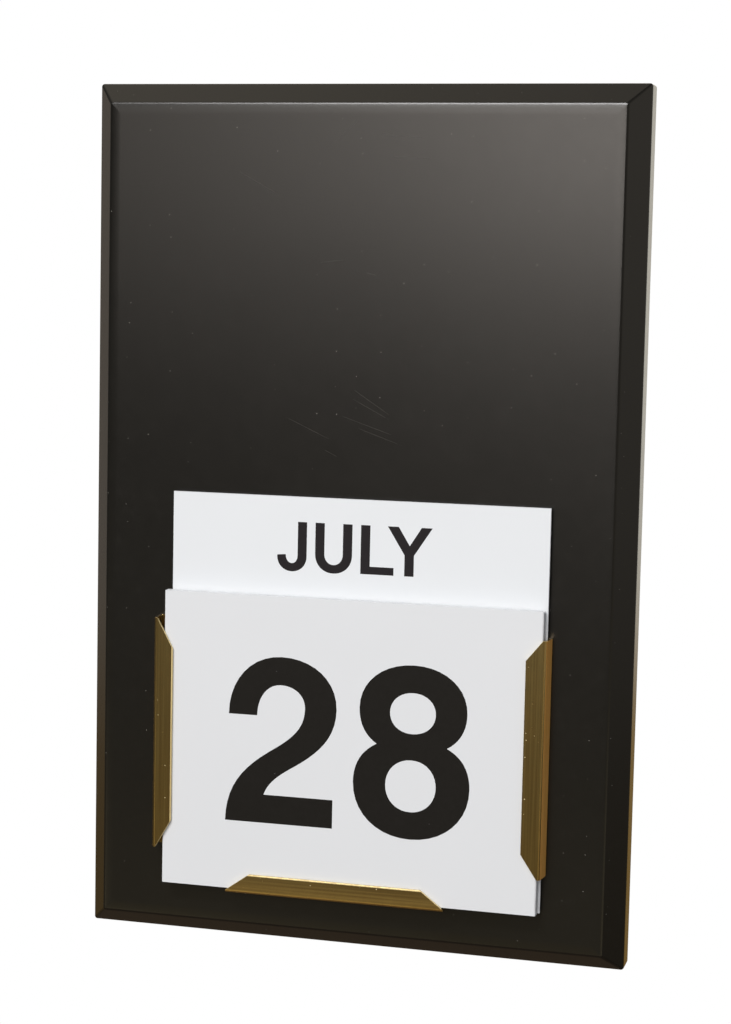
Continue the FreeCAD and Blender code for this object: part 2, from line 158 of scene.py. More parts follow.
class Shader:
    """A node tree, with one way to add a node and a few that are used often."""

    def __init__(self, tree: bpy.types.NodeTree) -> None:
        """Args:
            tree: The tree, which is emptied.
        """
        self.tree = tree
        tree.nodes.clear()

    def node(self, kind: str, settings: Optional[dict] = None, inputs: Optional[dict] = None,
             output: Union[int, str] = 0) -> Value:
        """Adds a node.

        Args:
            kind: The node's type.
            settings: Its properties, which are set first; "stops" are a ramp's stops.
            inputs: What each input socket gets, by name or number.
            output: The output socket that is returned.

        Returns:
            The chosen output.
        """
        made = self.tree.nodes.new(kind)
        for name, setting in (settings or {}).items():
            if name == "stops":
                self._set_stops(made.color_ramp, setting)
            else:
                setattr(made, name, setting)
        for name, term in (inputs or {}).items():
            if isinstance(term, Value):
                self.tree.links.new(term.socket, made.inputs[name])
            elif isinstance(term, tuple) and made.inputs[name].type == "RGBA":
                made.inputs[name].default_value = (*term, 1.0)
            else:
                made.inputs[name].default_value = term
        return Value(self, made.outputs[output] if made.outputs else None)

    @staticmethod
    def _set_stops(ramp: bpy.types.ColorRamp, stops: Iterable[tuple[float, Colour]]) -> None:
        """Args:
            ramp: A new ramp, with its two stops.
            stops: Each stop's place and colour, in order.
        """
        while len(ramp.elements) > 1:
            ramp.elements.remove(ramp.elements[-1])
        for index, (place, colour) in enumerate(stops):
            stop = ramp.elements[0] if index == 0 else ramp.elements.new(place)
            stop.position = place
            stop.color = (*colour, 1.0)

    def place(self, stretch: Colour = (1.0, 1.0, 1.0), turn: Colour = (0.0, 0.0, 0.0),
              centre: Colour = (0.0, 0.0, 0.0)) -> Value:
        """Where a point of the piece is, in metres, seen from a centre.

        Args:
            stretch: What the three axes are multiplied by.
            turn: The pattern's rotation, in radians.
            centre: The point that becomes the middle.

        Returns:
            The vector.
        """
        point = self.node("ShaderNodeTexCoord", output="Object")
        moved = self.node("ShaderNodeVectorMath", {"operation": "SUBTRACT"}, {0: point, 1: centre})
        return self.node("ShaderNodeMapping", {}, {"Vector": moved, "Rotation": turn, "Scale": stretch})

    def flat(self, centre: Colour = (0.0, 0.0, 0.0)) -> Value:
        """Where a point is across and up, as X and Y, whatever its depth.

        Args:
            centre: The point that becomes the middle.

        Returns:
            The vector.
        """
        return self.place((1.0, 0.0, 1.0), (-math.pi / 2, 0.0, 0.0), centre)

    def part(self, vector: Value, axis: str) -> Value:
        """A vector's part along X, Y or Z."""
        return self.node("ShaderNodeSeparateXYZ", {}, {0: vector}, axis)

    def facing(self) -> Value:
        """How squarely the surface faces the room or the wall, from 0 to 1."""
        level = self.part(self.node("ShaderNodeNewGeometry", output="True Normal"), "Y")
        return level * level

    def hairline(self, start: tuple[float, float], end: tuple[float, float], width: float) -> Value:
        """A fine straight line on an upright face, which fades out at its ends.

        Args:
            start: Its first end, as X and Z.
            end: Its other end.
            width: Half its width.

        Returns:
            1 on the line and 0 beside it.
        """
        point = self.node("ShaderNodeTexCoord", output="Object")
        x = self.part(point, "X") - start[0]
        z = self.part(point, "Z") - start[1]
        length = math.dist(start, end)
        way = ((end[0] - start[0]) / length, (end[1] - start[1]) / length)
        along = (x * way[0] + z * way[1]) / length
        aside = (x * way[1] - z * way[0]) / width
        return (1.0 - aside * aside).clamped() * (along * 4.0).clamped() * (4.0 - along * 4.0).clamped()

    def noise(self, where: Value, scale: float, detail: float = 2.0, roughness: float = 0.5) -> Value:
        """Smooth noise from 0 to 1.

        Args:
            where: The place that it is read at.
            scale: Waves per metre.
            detail: How many finer layers it has.
            roughness: How strong these are.

        Returns:
            The noise.
        """
        inputs = {"Vector": where, "Scale": scale, "Detail": detail, "Roughness": roughness}
        return self.node("ShaderNodeTexNoise", {}, inputs, "Fac")

    def specks(self, where: Value, scale: float, share: float, radius: float, spread: float) -> Value:
        """Small round spots, in a part of the cells of an uneven flat grid.

        Args:
            where: The place that it is read at, across and up.
            scale: Cells per metre.
            share: The part of the cells that have a spot.
            radius: The smallest spot's radius, in metres.
            spread: How much larger the largest one is, in metres.

        Returns:
            1 inside a spot and 0 outside.
        """
        grid = {"voronoi_dimensions": "2D"}
        cells = self.node("ShaderNodeTexVoronoi", grid, {"Vector": where, "Scale": scale}, "Distance")
        colour = Value(self, cells.socket.node.outputs["Color"])
        chance = self.node("ShaderNodeSeparateColor", {}, {"Color": colour}, "Red")
        size = self.node("ShaderNodeSeparateColor", {}, {"Color": colour}, "Green")
        reach = size * (spread * scale) + radius * scale
        edge = radius * scale * 0.35
        inside = ((reach - cells) / edge).clamped()
        return inside * ((share - chance) * 1000.0).clamped()

    def mix(self, amount: Term, first: Term, second: Term) -> Value:
        """A colour between two.

        Args:
            amount: 0 for the first and 1 for the second.
            first: A colour.
            second: Another colour.

        Returns:
            The colour.
        """
        settings = {"data_type": "RGBA", "clamp_factor": True}
        return self.node("ShaderNodeMix", settings, {0: amount, 6: first, 7: second}, 2)

    def bump(self, height: Value, depth: float) -> Value:
        """A normal that follows a height.

        Args:
            height: The height, from 0 to 1.
            depth: What a height of 1 is, in metres.

        Returns:
            The normal.
        """
        return self.node("ShaderNodeBump", {}, {"Height": height, "Distance": depth, "Strength": 1.0})


# Finishes


@dataclass(frozen=True)
class Finish:
    """A finish, made into a material once."""

    label: str

    def inputs(self, shader: Shader) -> dict:
        """What the surface's sockets get.

        Args:
            shader: The material's tree.

        Returns:
            The sockets' values or links, by name.
        """
        raise NotImplementedError

    def material(self) -> bpy.types.Material:
        """The material of this finish."""
        known = bpy.data.materials.get(self.label)
        if known:
            return known
        material = bpy.data.materials.new(self.label)
        material.use_nodes = True
        shader = Shader(material.node_tree)
        surface = shader.node("ShaderNodeBsdfPrincipled", {}, self.inputs(shader))
        shader.node("ShaderNodeOutputMaterial", {}, {"Surface": surface})
        return material


@dataclass(frozen=True)
class Lacquer(Finish):
    """Satin black lacquer, with orange peel, dust, haze and a few fine scratches."""

    label: str = "satin_black_lacquer"
    colour: Colour = (0.0058, 0.0052, 0.0040)
    dust: Colour = (0.42, 0.40, 0.36)
    roughness: float = 0.25
    scratch_width: float = 0.00009
    scratches: tuple[tuple[tuple[float, float], tuple[float, float]], ...] = ()

    def inputs(self, shader: Shader) -> dict:
        """The lacquer's sockets. See Finish.inputs."""
        place = shader.place()
        peel = shader.noise(place, scale=620.0, detail=2.0)
        cloud = shader.noise(place, scale=14.0, detail=3.0)
        haze = shader.noise(place, scale=240.0, detail=3.0, roughness=0.7)
        grain = shader.noise(place, scale=1500.0, detail=2.0)
        dust = shader.specks(shader.flat(), scale=130.0, share=0.20, radius=0.00006, spread=0.00009)
        dust = dust * shader.facing()
        lines = [shader.hairline(*ends, self.scratch_width) for ends in self.scratches]
        scratch = sum(lines[1:], lines[0]) * (haze * 2.0 - 0.3).clamped()
        shade = shader.mix(cloud, tuple(0.86 * c for c in self.colour), tuple(1.14 * c for c in self.colour))
        hazy = shader.mix(((haze - 0.62) * 3.0).clamped() * 0.012, shade, self.dust)
        scuffed = shader.mix(scratch * 0.065, hazy, self.dust)
        rough = self.roughness + (cloud - 0.5) * 0.05 + (haze - 0.5) * 0.06
        return {
            "Base Color": shader.mix(dust * 0.7, scuffed, self.dust),
            "Roughness": rough + dust * 0.4 + scratch * 0.2,
            "Normal": shader.bump(peel + grain * 2.4, depth=0.0000035),
            "IOR": 1.5,
        }


class Grain(Enum):
    """The way that a rolled sheet's grain runs."""

    UPRIGHT = (1.0, 1.0, 0.012)
    LEVEL = (0.012, 1.0, 1.0)


@dataclass(frozen=True)
class Brass(Finish):
    """Rolled brass with grain along the sheet and specks; its brightness is painted light and shade, set for
    each rail and changing towards the rail's lower end.
    """

    grain: Grain = Grain.UPRIGHT
    # Painted light and shade: the brightness at high_end, and the factor that it is multiplied by at low_end
    tone: float = 1.0
    low_tone: float = 1.0
    gloss: float = 0.15
    grit: float = 0.0
    metal: float = 1.0
    clean: Colour = (0.70, 0.52, 0.205)
    dull: Colour = (0.44, 0.30, 0.11)
    stain: Colour = (0.16, 0.10, 0.05)
    speck: Colour = (0.95, 0.85, 0.60)
    high_end: float = -0.036
    low_end: float = -0.119

    def inputs(self, shader: Shader) -> dict:
        """The brass's sockets. See Finish.inputs."""
        place = shader.place()
        drawn = shader.noise(shader.place(self.grain.value), scale=1500.0, detail=3.0)
        cloud = shader.noise(place, scale=190.0, detail=5.0, roughness=0.65)
        grain = shader.noise(place, scale=4200.0, detail=2.0)
        tarnish = ((cloud - 0.36) * 3.0).clamped()
        streak = ((drawn - 0.38) * 3.8).clamped()
        spots = shader.specks(shader.flat(), scale=420.0, share=0.05, radius=0.00008, spread=0.00014)
        spots = spots * shader.facing()
        elsewhere = shader.flat((0.31, 0.0, 0.17))
        bright = shader.specks(elsewhere, scale=330.0, share=0.14, radius=0.00008, spread=0.00011)
        bright = bright * shader.facing()
        sheet = shader.mix(tarnish * 0.35 + streak * 0.75, self.clean, self.dull)
        # Painted light and shade: the sheet's colour is scaled by each rail's brightness, which changes from
        # high_end down to low_end
        sunk = ((self.high_end - shader.part(place, "Z")) / (self.high_end - self.low_end)).clamped()
        darkened = shader.mix(self.tone * (1.0 - sunk * (1.0 - self.low_tone)), (0.0, 0.0, 0.0), sheet)
        stained = shader.mix(spots * 0.8, darkened, self.stain)
        return {
            "Base Color": shader.mix(bright * 0.9, stained, self.speck),
            "Metallic": self.metal,
            "Roughness": self.gloss + drawn * 0.06 + tarnish * 0.05 + spots * 0.2 + bright * 0.5,
            "Normal": shader.bump(drawn * 0.5 + cloud * 0.3 + grain * (0.2 + self.grit), depth=0.0000030),
        }


@dataclass(frozen=True)
class Steel(Finish):
    """Zinc-plated steel, faintly mottled."""

    label: str = "zinc_plated_steel"
    bright: Colour = (0.66, 0.67, 0.68)
    grey: Colour = (0.48, 0.49, 0.51)

    def inputs(self, shader: Shader) -> dict:
        """The steel's sockets. See Finish.inputs."""
        place = shader.place()
        mottle = shader.noise(place, scale=900.0, detail=4.0, roughness=0.65)
        brushed = shader.noise(shader.place((1.0, 1.0, 0.02)), scale=3200.0, detail=2.0)
        return {
            "Base Color": shader.mix(mottle, self.bright, self.grey),
            "Metallic": 1.0,
            "Roughness": 0.30 + mottle * 0.14 + brushed * 0.08,
            "Normal": shader.bump(brushed, depth=0.0000025),
        }


@dataclass(frozen=True)
class Fibreboard(Finish):
    """Raw fibreboard, where the plaque was routed and drilled after its lacquer."""

    label: str = "raw_fibreboard"
    light: Colour = (0.42, 0.29, 0.17)
    dark: Colour = (0.24, 0.15, 0.08)

    def inputs(self, shader: Shader) -> dict:
        """The fibreboard's sockets. See Finish.inputs."""
        place = shader.place()
        aslant = shader.place((1.0, 0.35, 1.0), (0.4, 0.9, 0.2))
        fibres = shader.noise(aslant, scale=1500.0, detail=5.0, roughness=0.7)
        cloud = shader.noise(place, scale=120.0, detail=3.0)
        return {
            "Base Color": shader.mix(fibres * 0.7 + cloud * 0.3, self.dark, self.light),
            "Roughness": 0.86 + fibres * 0.1,
            "Normal": shader.bump(fibres, depth=0.00006),
        }


@dataclass(frozen=True)
class CardStock(Finish):
    """Smooth white card with a slight tooth, a few faint marks from handling, and painted shade on its cut
    edges.
    """

    colour: Colour = (0.778, 0.807, 0.833)
    shaded: Colour = (0.759, 0.787, 0.812)
    mark: Colour = (0.62, 0.62, 0.64)
    # Painted shade: the colour that the cards' cut edges are darkened towards, standing in for the shade
    # between stacked cards
    cut: Colour = (0.40, 0.36, 0.37)

    def inputs(self, shader: Shader) -> dict:
        """The card's sockets. See Finish.inputs."""
        place = shader.place()
        way = shader.node("ShaderNodeNewGeometry", output="True Normal")
        # Painted light and shade: side and lower edges are darkened, and edges that face up are left nearly
        # white as if lit from above
        lit_top = shader.part(way, "Z").clamped()
        edge = (1.0 - shader.facing()) ** 2.0 * (1.0 - lit_top * 0.9)
        cloud = shader.noise(place, scale=35.0, detail=3.0)
        tooth = shader.noise(place, scale=5200.0, detail=3.0)
        marks = shader.specks(shader.flat(), scale=60.0, share=0.06, radius=0.00012, spread=0.00016)
        paper = shader.mix(cloud, self.colour, self.shaded)
        return {
            "Base Color": shader.mix(edge, shader.mix(marks * 0.6, paper, self.mark), self.cut),
            "Roughness": 0.46 + tooth * 0.08,
            "Normal": shader.bump(tooth, depth=0.0000020),
        }


@dataclass(frozen=True)
class Ink(Finish):
    """Black printing ink, a little uneven."""

    colour: Colour = (0.0070, 0.0062, 0.0052)
    thin: Colour = (0.012, 0.011, 0.0095)

    def inputs(self, shader: Shader) -> dict:
        """The ink's sockets. See Finish.inputs."""
        place = shader.place()
        cover = shader.noise(place, scale=700.0, detail=4.0, roughness=0.6)
        pinholes = shader.specks(shader.flat(), scale=160.0, share=0.03, radius=0.00005, spread=0.00007)
        ink = shader.mix((cover - 0.2).clamped(), self.colour, self.thin)
        return {
            "Base Color": shader.mix(pinholes * 0.5, ink, (0.5, 0.5, 0.5)),
            "Roughness": 0.50 + cover * 0.12,
            "Specular IOR Level": 0.16,
        }


LACQUER = Lacquer(scratches=SCRATCHES)
RAW_BOARD = Fibreboard()
STEEL = Steel()
MONTH_CARD = CardStock("month_card")
# Painted shade: the day cards' white is greyer than the month cards', standing in for the shade that falls
# on the leaning day cards
SHADED_DAY_CARD = CardStock("day_card", (0.733, 0.753, 0.776), (0.716, 0.736, 0.757))
DAY_INK = Ink("day_ink")
MONTH_INK = Ink("month_ink", (0.013, 0.011, 0.013), (0.020, 0.017, 0.020))
# Painted light and shade: each rail's brass has its own brightness. The side rails are painted darker
# towards their lower ends, and the bottom rail's lip is painted lighter towards its lower bend as a painted
# highlight.
BRASS_LEFT = Brass("aged_brass_left", tone=0.84, low_tone=0.74)
BRASS_RIGHT = Brass("aged_brass_right", tone=0.93, low_tone=0.62)
BRASS_LEVEL = Brass(
    "aged_brass_level", Grain.LEVEL, tone=0.80, low_tone=1.25, high_end=-0.1262, low_end=-0.1320,
)
BRASS_WEB = Brass(
    "worn_brass_web", gloss=0.5, metal=0.35, clean=(0.98, 0.53, 0.14), dull=(0.82, 0.41, 0.09),
)
# Paler brass on the lips' cut ends and free-edge strips: partly the colour of freshly cut metal, partly a
# painted highlight along these edges
BRASS_EDGE = Brass(
    "cut_brass_and_painted_highlight", gloss=0.45, grit=4.0, metal=0.6, clean=(0.88, 0.73, 0.38), dull=(0.64, 0.50, 0.24),
)


# Mesh building


class Pen:
    """Draws a closed run of edges in an upright plane, from one corner to the next."""

    def __init__(self, bm: bmesh.types.BMesh, depth: float, x: float, z: float) -> None:
        """Args:
            bm: The mesh that is drawn in.
            depth: The plane's Y.
            x: The first corner's X.
            z: The first corner's Z.
        """
        self.bm = bm
        self.depth = depth
        self.verts = [bm.verts.new((x, depth, z))]
        self.edges: list[bmesh.types.BMEdge] = []

    def line(self, x: float, z: float) -> "Pen":
        """Draws a straight line to a corner, and returns the pen."""
        end = self.bm.verts.new((x, self.depth, z))
        self.edges.append(self.bm.edges.new((self.verts[-1], end)))
        self.verts.append(end)
        return self

    def arc(self, x: float, z: float, degrees: float, steps: int = 16) -> "Pen":
        """Draws an arc about a centre.

        Args:
            x: The centre's X.
            z: The centre's Z.
            degrees: How far it turns; positive from +X towards -Z.
            steps: How many straight pieces it has.

        Returns:
            The pen.
        """
        known = set(self.bm.edges)
        spun = bmesh.ops.spin(
            self.bm, geom=[self.verts[-1]], cent=(x, self.depth, z), axis=(0.0, 1.0, 0.0),
            dvec=(0.0, 0.0, 0.0), angle=math.radians(degrees), steps=steps,
            use_merge=False, use_normal_flip=False, use_duplicate=False,
        )
        self.edges += [edge for edge in self.bm.edges if edge not in known]
        self.verts.append(next(v for v in spun["geom_last"] if isinstance(v, bmesh.types.BMVert)))
        return self

    def close(self) -> list[bmesh.types.BMEdge]:
        """Joins the end to the start, and returns the run's edges."""
        first, last = self.verts[0], self.verts[-1]
        if (first.co - last.co).length < JOINED:
            bmesh.ops.pointmerge(self.bm, verts=[first, last], merge_co=first.co)
        else:
            self.edges.append(self.bm.edges.new((last, first)))
        return [edge for edge in self.edges if edge.is_valid]


def ring(bm: bmesh.types.BMesh, x: float, y: float, z: float, radius: float,
         segments: int = 32) -> list[bmesh.types.BMEdge]:
    """A circle of edges in an upright plane.

    Args:
        bm: The mesh that is drawn in.
        x: The centre's X.
        y: The plane's Y.
        z: The centre's Z.
        radius: The circle's radius.
        segments: How many straight pieces it has.

    Returns:
        Its edges.
    """
    upright = Matrix.Translation((x, y, z)) @ Matrix.Rotation(math.radians(90.0), 4, "X")
    made = bmesh.ops.create_circle(bm, cap_ends=False, radius=radius, segments=segments, matrix=upright)
    return list({edge for vert in made["verts"] for edge in vert.link_edges})


def slot_run(bm: bmesh.types.BMesh, y: float, low: float, high: float,
             radius: float) -> list[bmesh.types.BMEdge]:
    """An upright, round-ended run of edges about X = 0.

    Args:
        bm: The mesh that is drawn in.
        y: The plane's Y.
        low: The lower end's centre.
        high: The upper end's centre.
        radius: Both ends' radius.

    Returns:
        Its edges.
    """
    pen = Pen(bm, y, radius, low)
    return pen.arc(0.0, low, 180.0).line(-radius, high).arc(0.0, high, 180.0).close()


def rounded_run(bm: bmesh.types.BMesh, y: float, half_width: float, low: float, high: float,
                radius: float) -> list[bmesh.types.BMEdge]:
    """A rectangle of edges with rounded corners, about X = 0.

    Args:
        bm: The mesh that is drawn in.
        y: The plane's Y.
        half_width: Half its width.
        low: Its lower side.
        high: Its upper side.
        radius: Its corners' radius.

    Returns:
        Its edges.
    """
    x = half_width - radius
    pen = Pen(bm, y, half_width, low + radius).arc(x, low + radius, 90.0, 6)
    pen.line(-x, low).arc(-x, low + radius, 90.0, 6)
    pen.line(-half_width, high - radius).arc(-x, high - radius, 90.0, 6)
    return pen.line(x, high).arc(x, high - radius, 90.0, 6).close()


def sweep_run(bm: bmesh.types.BMesh, run: list[bmesh.types.BMEdge], depth: float,
              material: int = 0) -> list[bmesh.types.BMEdge]:
    """Draws a wall from a run of edges, straight along Y.

    Args:
        bm: The mesh.
        run: The edges.
        depth: How far along Y.
        material: The wall's material slot.

    Returns:
        The run at the wall's far end.
    """
    made = bmesh.ops.extrude_edge_only(bm, edges=run)["geom"]
    verts = [item for item in made if isinstance(item, bmesh.types.BMVert)]
    bmesh.ops.translate(bm, verts=verts, vec=(0.0, depth, 0.0))
    for item in made:
        if isinstance(item, bmesh.types.BMFace):
            item.material_index = material
    moved = set(verts)
    return [e for e in made if isinstance(e, bmesh.types.BMEdge) and set(e.verts) <= moved]


def fill_runs(bm: bmesh.types.BMesh, runs: Iterable[list[bmesh.types.BMEdge]],
              material: int = 0) -> None:
    """Fills the flat area between an outer run of edges and the runs inside it.

    Args:
        bm: The mesh.
        runs: The runs, all in one plane.
        material: The area's material slot.
    """
    edges = [edge for run in runs for edge in run]
    filled = bmesh.ops.triangle_fill(bm, edges=edges, use_beauty=True, use_dissolve=False)
    for item in filled["geom"]:
        if isinstance(item, bmesh.types.BMFace):
            item.material_index = material


def thicken(bm: bmesh.types.BMesh, way: tuple[float, float, float]) -> None:
    """Draws flat faces out into a solid.

    Args:
        bm: The mesh, which has nothing but the faces.
        way: How far and in which direction.
    """
    grown = bmesh.ops.extrude_face_region(bm, geom=list(bm.faces))["geom"]
    far = [item for item in grown if isinstance(item, bmesh.types.BMVert)]
    bmesh.ops.translate(bm, verts=far, vec=way)


def open_face(bm: bmesh.types.BMesh, test: Callable[[bmesh.types.BMFace], bool]) -> list[bmesh.types.BMEdge]:
    """Takes the largest face that passes a test out of a mesh.

    Args:
        bm: The mesh.
        test: What the face has to pass.

    Returns:
        The edges that were round it.
    """
    face = max((face for face in bm.faces if test(face)), key=lambda found: found.calc_area())
    edges = list(face.edges)
    bmesh.ops.delete(bm, geom=[face], context="FACES_ONLY")
    return edges


def sharp_edges(bm: bmesh.types.BMesh, degrees: float) -> list[bmesh.types.BMEdge]:
    """The edges of a mesh where two faces meet at more than an angle."""
    limit = math.radians(degrees)
    return [edge for edge in bm.edges if edge.is_manifold and edge.calc_face_angle() > limit]


def round_off(bm: bmesh.types.BMesh, edges: list[bmesh.types.BMEdge], offset: float,
              segments: int) -> None:
    """Rounds edges off.

    Args:
        bm: The mesh.
        edges: The edges.
        offset: How far the rounding reaches from the edge.
        segments: How many faces it has.
    """
    bmesh.ops.bevel(
        bm, geom=edges, offset=offset, offset_type="OFFSET", segments=segments, profile=0.5,
        affect="EDGES", material=-1, clamp_overlap=True,
    )


@dataclass
class Piece:
    """A finished mesh on its way to becoming a piece of the object."""

    name: str
    slot: str
    finishes: list[Finish]
    body: str = ROOT
    replaces: tuple[str, ...] = ()
    smooth_below: float = 40.0

    def settle(self, bm: bmesh.types.BMesh,
               crease: Callable[[bmesh.types.BMEdge], bool] = lambda edge: False) -> bpy.types.Object:
        """Closes a mesh up and makes the piece.

        Args:
            bm: The mesh, with its place in it; it is freed.
            crease: Which edges stay sharp however little they bend.

        Returns:
            The piece.
        """
        bmesh.ops.remove_doubles(bm, verts=bm.verts, dist=2 * JOINED)
        bmesh.ops.recalc_face_normals(bm, faces=bm.faces)
        limit = math.radians(self.smooth_below)
        for face in bm.faces:
            face.smooth = True
        for edge in bm.edges:
            edge.smooth = edge.is_manifold and edge.calc_face_angle() < limit and not crease(edge)
        mesh = bpy.data.meshes.new(self.name)
        bm.to_mesh(mesh)
        bm.free()
        made = self.adopt(mesh)
        made.modifiers.new("weighted_normals", "WEIGHTED_NORMAL").keep_sharp = True
        return made

    def adopt(self, mesh: bpy.types.Mesh) -> bpy.types.Object:
        """Makes the piece from a mesh that is ready.

        Args:
            mesh: The mesh, with its place in it.

        Returns:
            The piece.
        """
        for finish in self.finishes:
            mesh.materials.append(finish.material())
        made = bpy.data.objects.new(self.name, mesh)
        bpy.context.scene.collection.objects.link(made)
        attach(made, self.body)
        if self.replaces:
            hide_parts(*self.replaces)
        log.info("%s: %d faces", self.name, len(mesh.polygons))
        return made


# Sub-assemblies


@dataclass
class Hanger:
    """The keyhole plate in the plaque's back, and the recess that it lies in."""

    width: float = 16.0 * MM
    length: float = 44.0 * MM
    thick: float = 1.5 * MM
    corner: float = 2.7 * MM
    play: float = 0.3 * MM
    entry: float = 4.75 * MM
    slot: float = 2.3 * MM
    rise: float = 11.0 * MM
    head_room: float = 6.0 * MM
    head_depth: float = 8.0 * MM
    screw_place: float = 17.0 * MM
    bore: float = 1.56 * MM
    bore_depth: float = 11.35 * MM
    middle: float = field(init=False)

    def __post_init__(self) -> None:
        """Reads the plate's middle from the model."""
        low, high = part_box("hanger_plate")
        self.middle = (low.z + high.z) / 2

    def _bores(self, bm: bmesh.types.BMesh, depth: float) -> list[list[bmesh.types.BMEdge]]:
        """The two screw holes' rings at a depth."""
        heights = [self.middle + side * self.screw_place for side in (-1, 1)]
        return [ring(bm, 0.0, depth, height, self.bore) for height in heights]

    def cut_recess(self, bm: bmesh.types.BMesh, back: list[bmesh.types.BMEdge], material: int) -> None:
        """Cuts the recess, the room for a wall screw's head and the screw holes into the back.

        Args:
            bm: The plaque's mesh, whose back is open.
            back: The edges round the open back.
            material: The slot of what shows inside.
        """
        half = self.length / 2 + self.play
        mouth = rounded_run(bm, 0.0, self.width / 2 + self.play, self.middle - half,
                            self.middle + half, self.corner + self.play)
        fill_runs(bm, [back, mouth])
        floor = sweep_run(bm, mouth, -self.thick, material)
        low, high = self.middle - self.rise / 2, self.middle + self.rise / 2
        room = slot_run(bm, -self.thick, low, high, self.head_room)
        bores = self._bores(bm, -self.thick)
        fill_runs(bm, [floor, room, *bores], material)
        fill_runs(bm, [sweep_run(bm, room, -self.head_depth, material)], material)
        for bore in bores:
            fill_runs(bm, [sweep_run(bm, bore, -self.bore_depth, material)], material)

    def build(self) -> None:
        """Makes the plate."""
        bm = bmesh.new()
        half = self.length / 2
        outer = rounded_run(bm, 0.0, self.width / 2, self.middle - half, self.middle + half, self.corner)
        low, high = self.middle - self.rise / 2, self.middle + self.rise / 2
        meet = math.sqrt(self.entry ** 2 - self.slot ** 2)
        turn = 360.0 - 2 * math.degrees(math.asin(self.slot / self.entry))
        keyhole = (Pen(bm, 0.0, self.slot, low + meet).arc(0.0, low, turn, 40)
                   .line(-self.slot, high).arc(0.0, high, 180.0).close())
        fill_runs(bm, [outer, keyhole, *self._bores(bm, 0.0)])
        thicken(bm, (0.0, -self.thick, 0.0))
        for side in (-1, 1):
            centre = Vector((0.0, 0.0, self.middle + side * self.screw_place))
            rim = [v for v in bm.verts if v.co.y > -NEAR and (v.co - centre).length < self.bore * 1.01]
            wider = (self.bore + self.thick) / self.bore
            bmesh.ops.scale(bm, vec=(wider, 1.0, wider), verts=rim, space=Matrix.Translation(-centre))
        Piece("hanger_plate_dressed", "hanger_steel", [STEEL], replaces=("hanger_plate",)).settle(bm)


@dataclass
class Plaque:
    """The bevelled plaque, whose face eases off before it breaks into the bevel."""

    hanger: Hanger
    side_depth: float = 9.2 * MM
    bevel_depth: float = 8.8 * MM
    bevel_width: float = 6.65 * MM
    lip_width: float = 0.7 * MM
    lip_depth: float = 0.29 * MM
    ease_width: float = 1.9 * MM
    ease_depth: float = 0.23 * MM
    face_aside: float = 0.1 * MM
    face_down: float = 0.4 * MM
    face_reach: float = 1.4 * MM
    break_reach: float = 0.2 * MM
    corner_reach: float = 0.9 * MM
    edge_reach: float = 0.4 * MM
    raw_slot: int = 1

    def build(self) -> None:
        """Makes the plaque, with the hanger's recess in its back."""
        low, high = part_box("backboard")
        bm = bmesh.new()
        block = Matrix.Translation((0.0, -self.side_depth / 2, 0.0)) @ Matrix.Diagonal(
            (high.x - low.x, self.side_depth, high.z - low.z, 1.0)
        )
        bmesh.ops.create_cube(bm, size=1.0, matrix=block)
        front = [face for face in bm.faces if face.normal.y < -0.9]
        lip_depth = self.bevel_depth - self.ease_depth
        break_depth = lip_depth - self.lip_depth
        steps = (
            (self.bevel_width, break_depth), (self.lip_width, self.lip_depth),
            (self.ease_width, self.ease_depth),
        )
        for width, depth in steps:
            bmesh.ops.inset_region(
                bm, faces=front, thickness=width, depth=depth, use_even_offset=True, use_boundary=True,
            )
        inside = [vert for vert in bm.verts if vert.co.y < -self.side_depth - NEAR]
        bmesh.ops.translate(bm, verts=inside, vec=(self.face_aside, 0.0, -self.face_down))
        breaks = (
            (self.bevel_depth, self.face_reach, 10), (lip_depth, self.break_reach, 4),
            (break_depth, self.break_reach, 5),
        )
        for depth, reach, segments in breaks:
            edges = [edge for edge in bm.edges if self._at_depth(edge, -self.side_depth - depth)]
            round_off(bm, edges, reach, segments)
        inner = high.x - self.bevel_width - self.face_aside - self.break_reach
        corners = [
            edge for edge in sharp_edges(bm, 1.0)
            if self._runs_in(edge) and min(abs(vert.co.x) for vert in edge.verts) > inner
        ]
        round_off(bm, corners, self.corner_reach, 5)
        bm.normal_update()
        rim = [
            edge for edge in sharp_edges(bm, 25.0) if self._at_depth(edge, -self.side_depth, self.edge_reach)
        ]
        round_off(bm, rim, self.edge_reach, 4)
        bm.normal_update()
        back = open_face(bm, lambda face: face.normal.y > 0.9)
        self.hanger.cut_recess(bm, back, self.raw_slot)
        plaque = Piece("plaque_dressed", "black_plaque", [LACQUER, RAW_BOARD], replaces=("backboard",))
        eased = -self.side_depth - break_depth + self.break_reach
        plaque.settle(bm, lambda edge: self._runs_in(edge) and max(v.co.y for v in edge.verts) < eased)

    @staticmethod
    def _runs_in(edge: bmesh.types.BMEdge) -> bool:
        """Whether an edge runs towards the wall at a corner of the plaque."""
        way = edge.verts[0].co - edge.verts[1].co
        return abs(way.y) > NEAR and abs(abs(way.x) - abs(way.z)) < 0.15 * way.length

    @staticmethod
    def _at_depth(edge: bmesh.types.BMEdge, depth: float, play: float = NEAR) -> bool:
        """Whether both ends of an edge lie at one depth, give or take some play."""
        return all(abs(vert.co.y - depth) < play for vert in edge.verts)


@dataclass(frozen=True)
class RailShape:
    """What one rail has to itself: where it is, how it is turned, and its lip.

    The cuts are at the lip's low and high end before the turn. The worn strip lies along its free edge.
    """

    node: str
    degrees: float
    finish: Finish
    lip: float
    lean: float
    inset: float
    cuts: tuple[float, float]
    worn: float


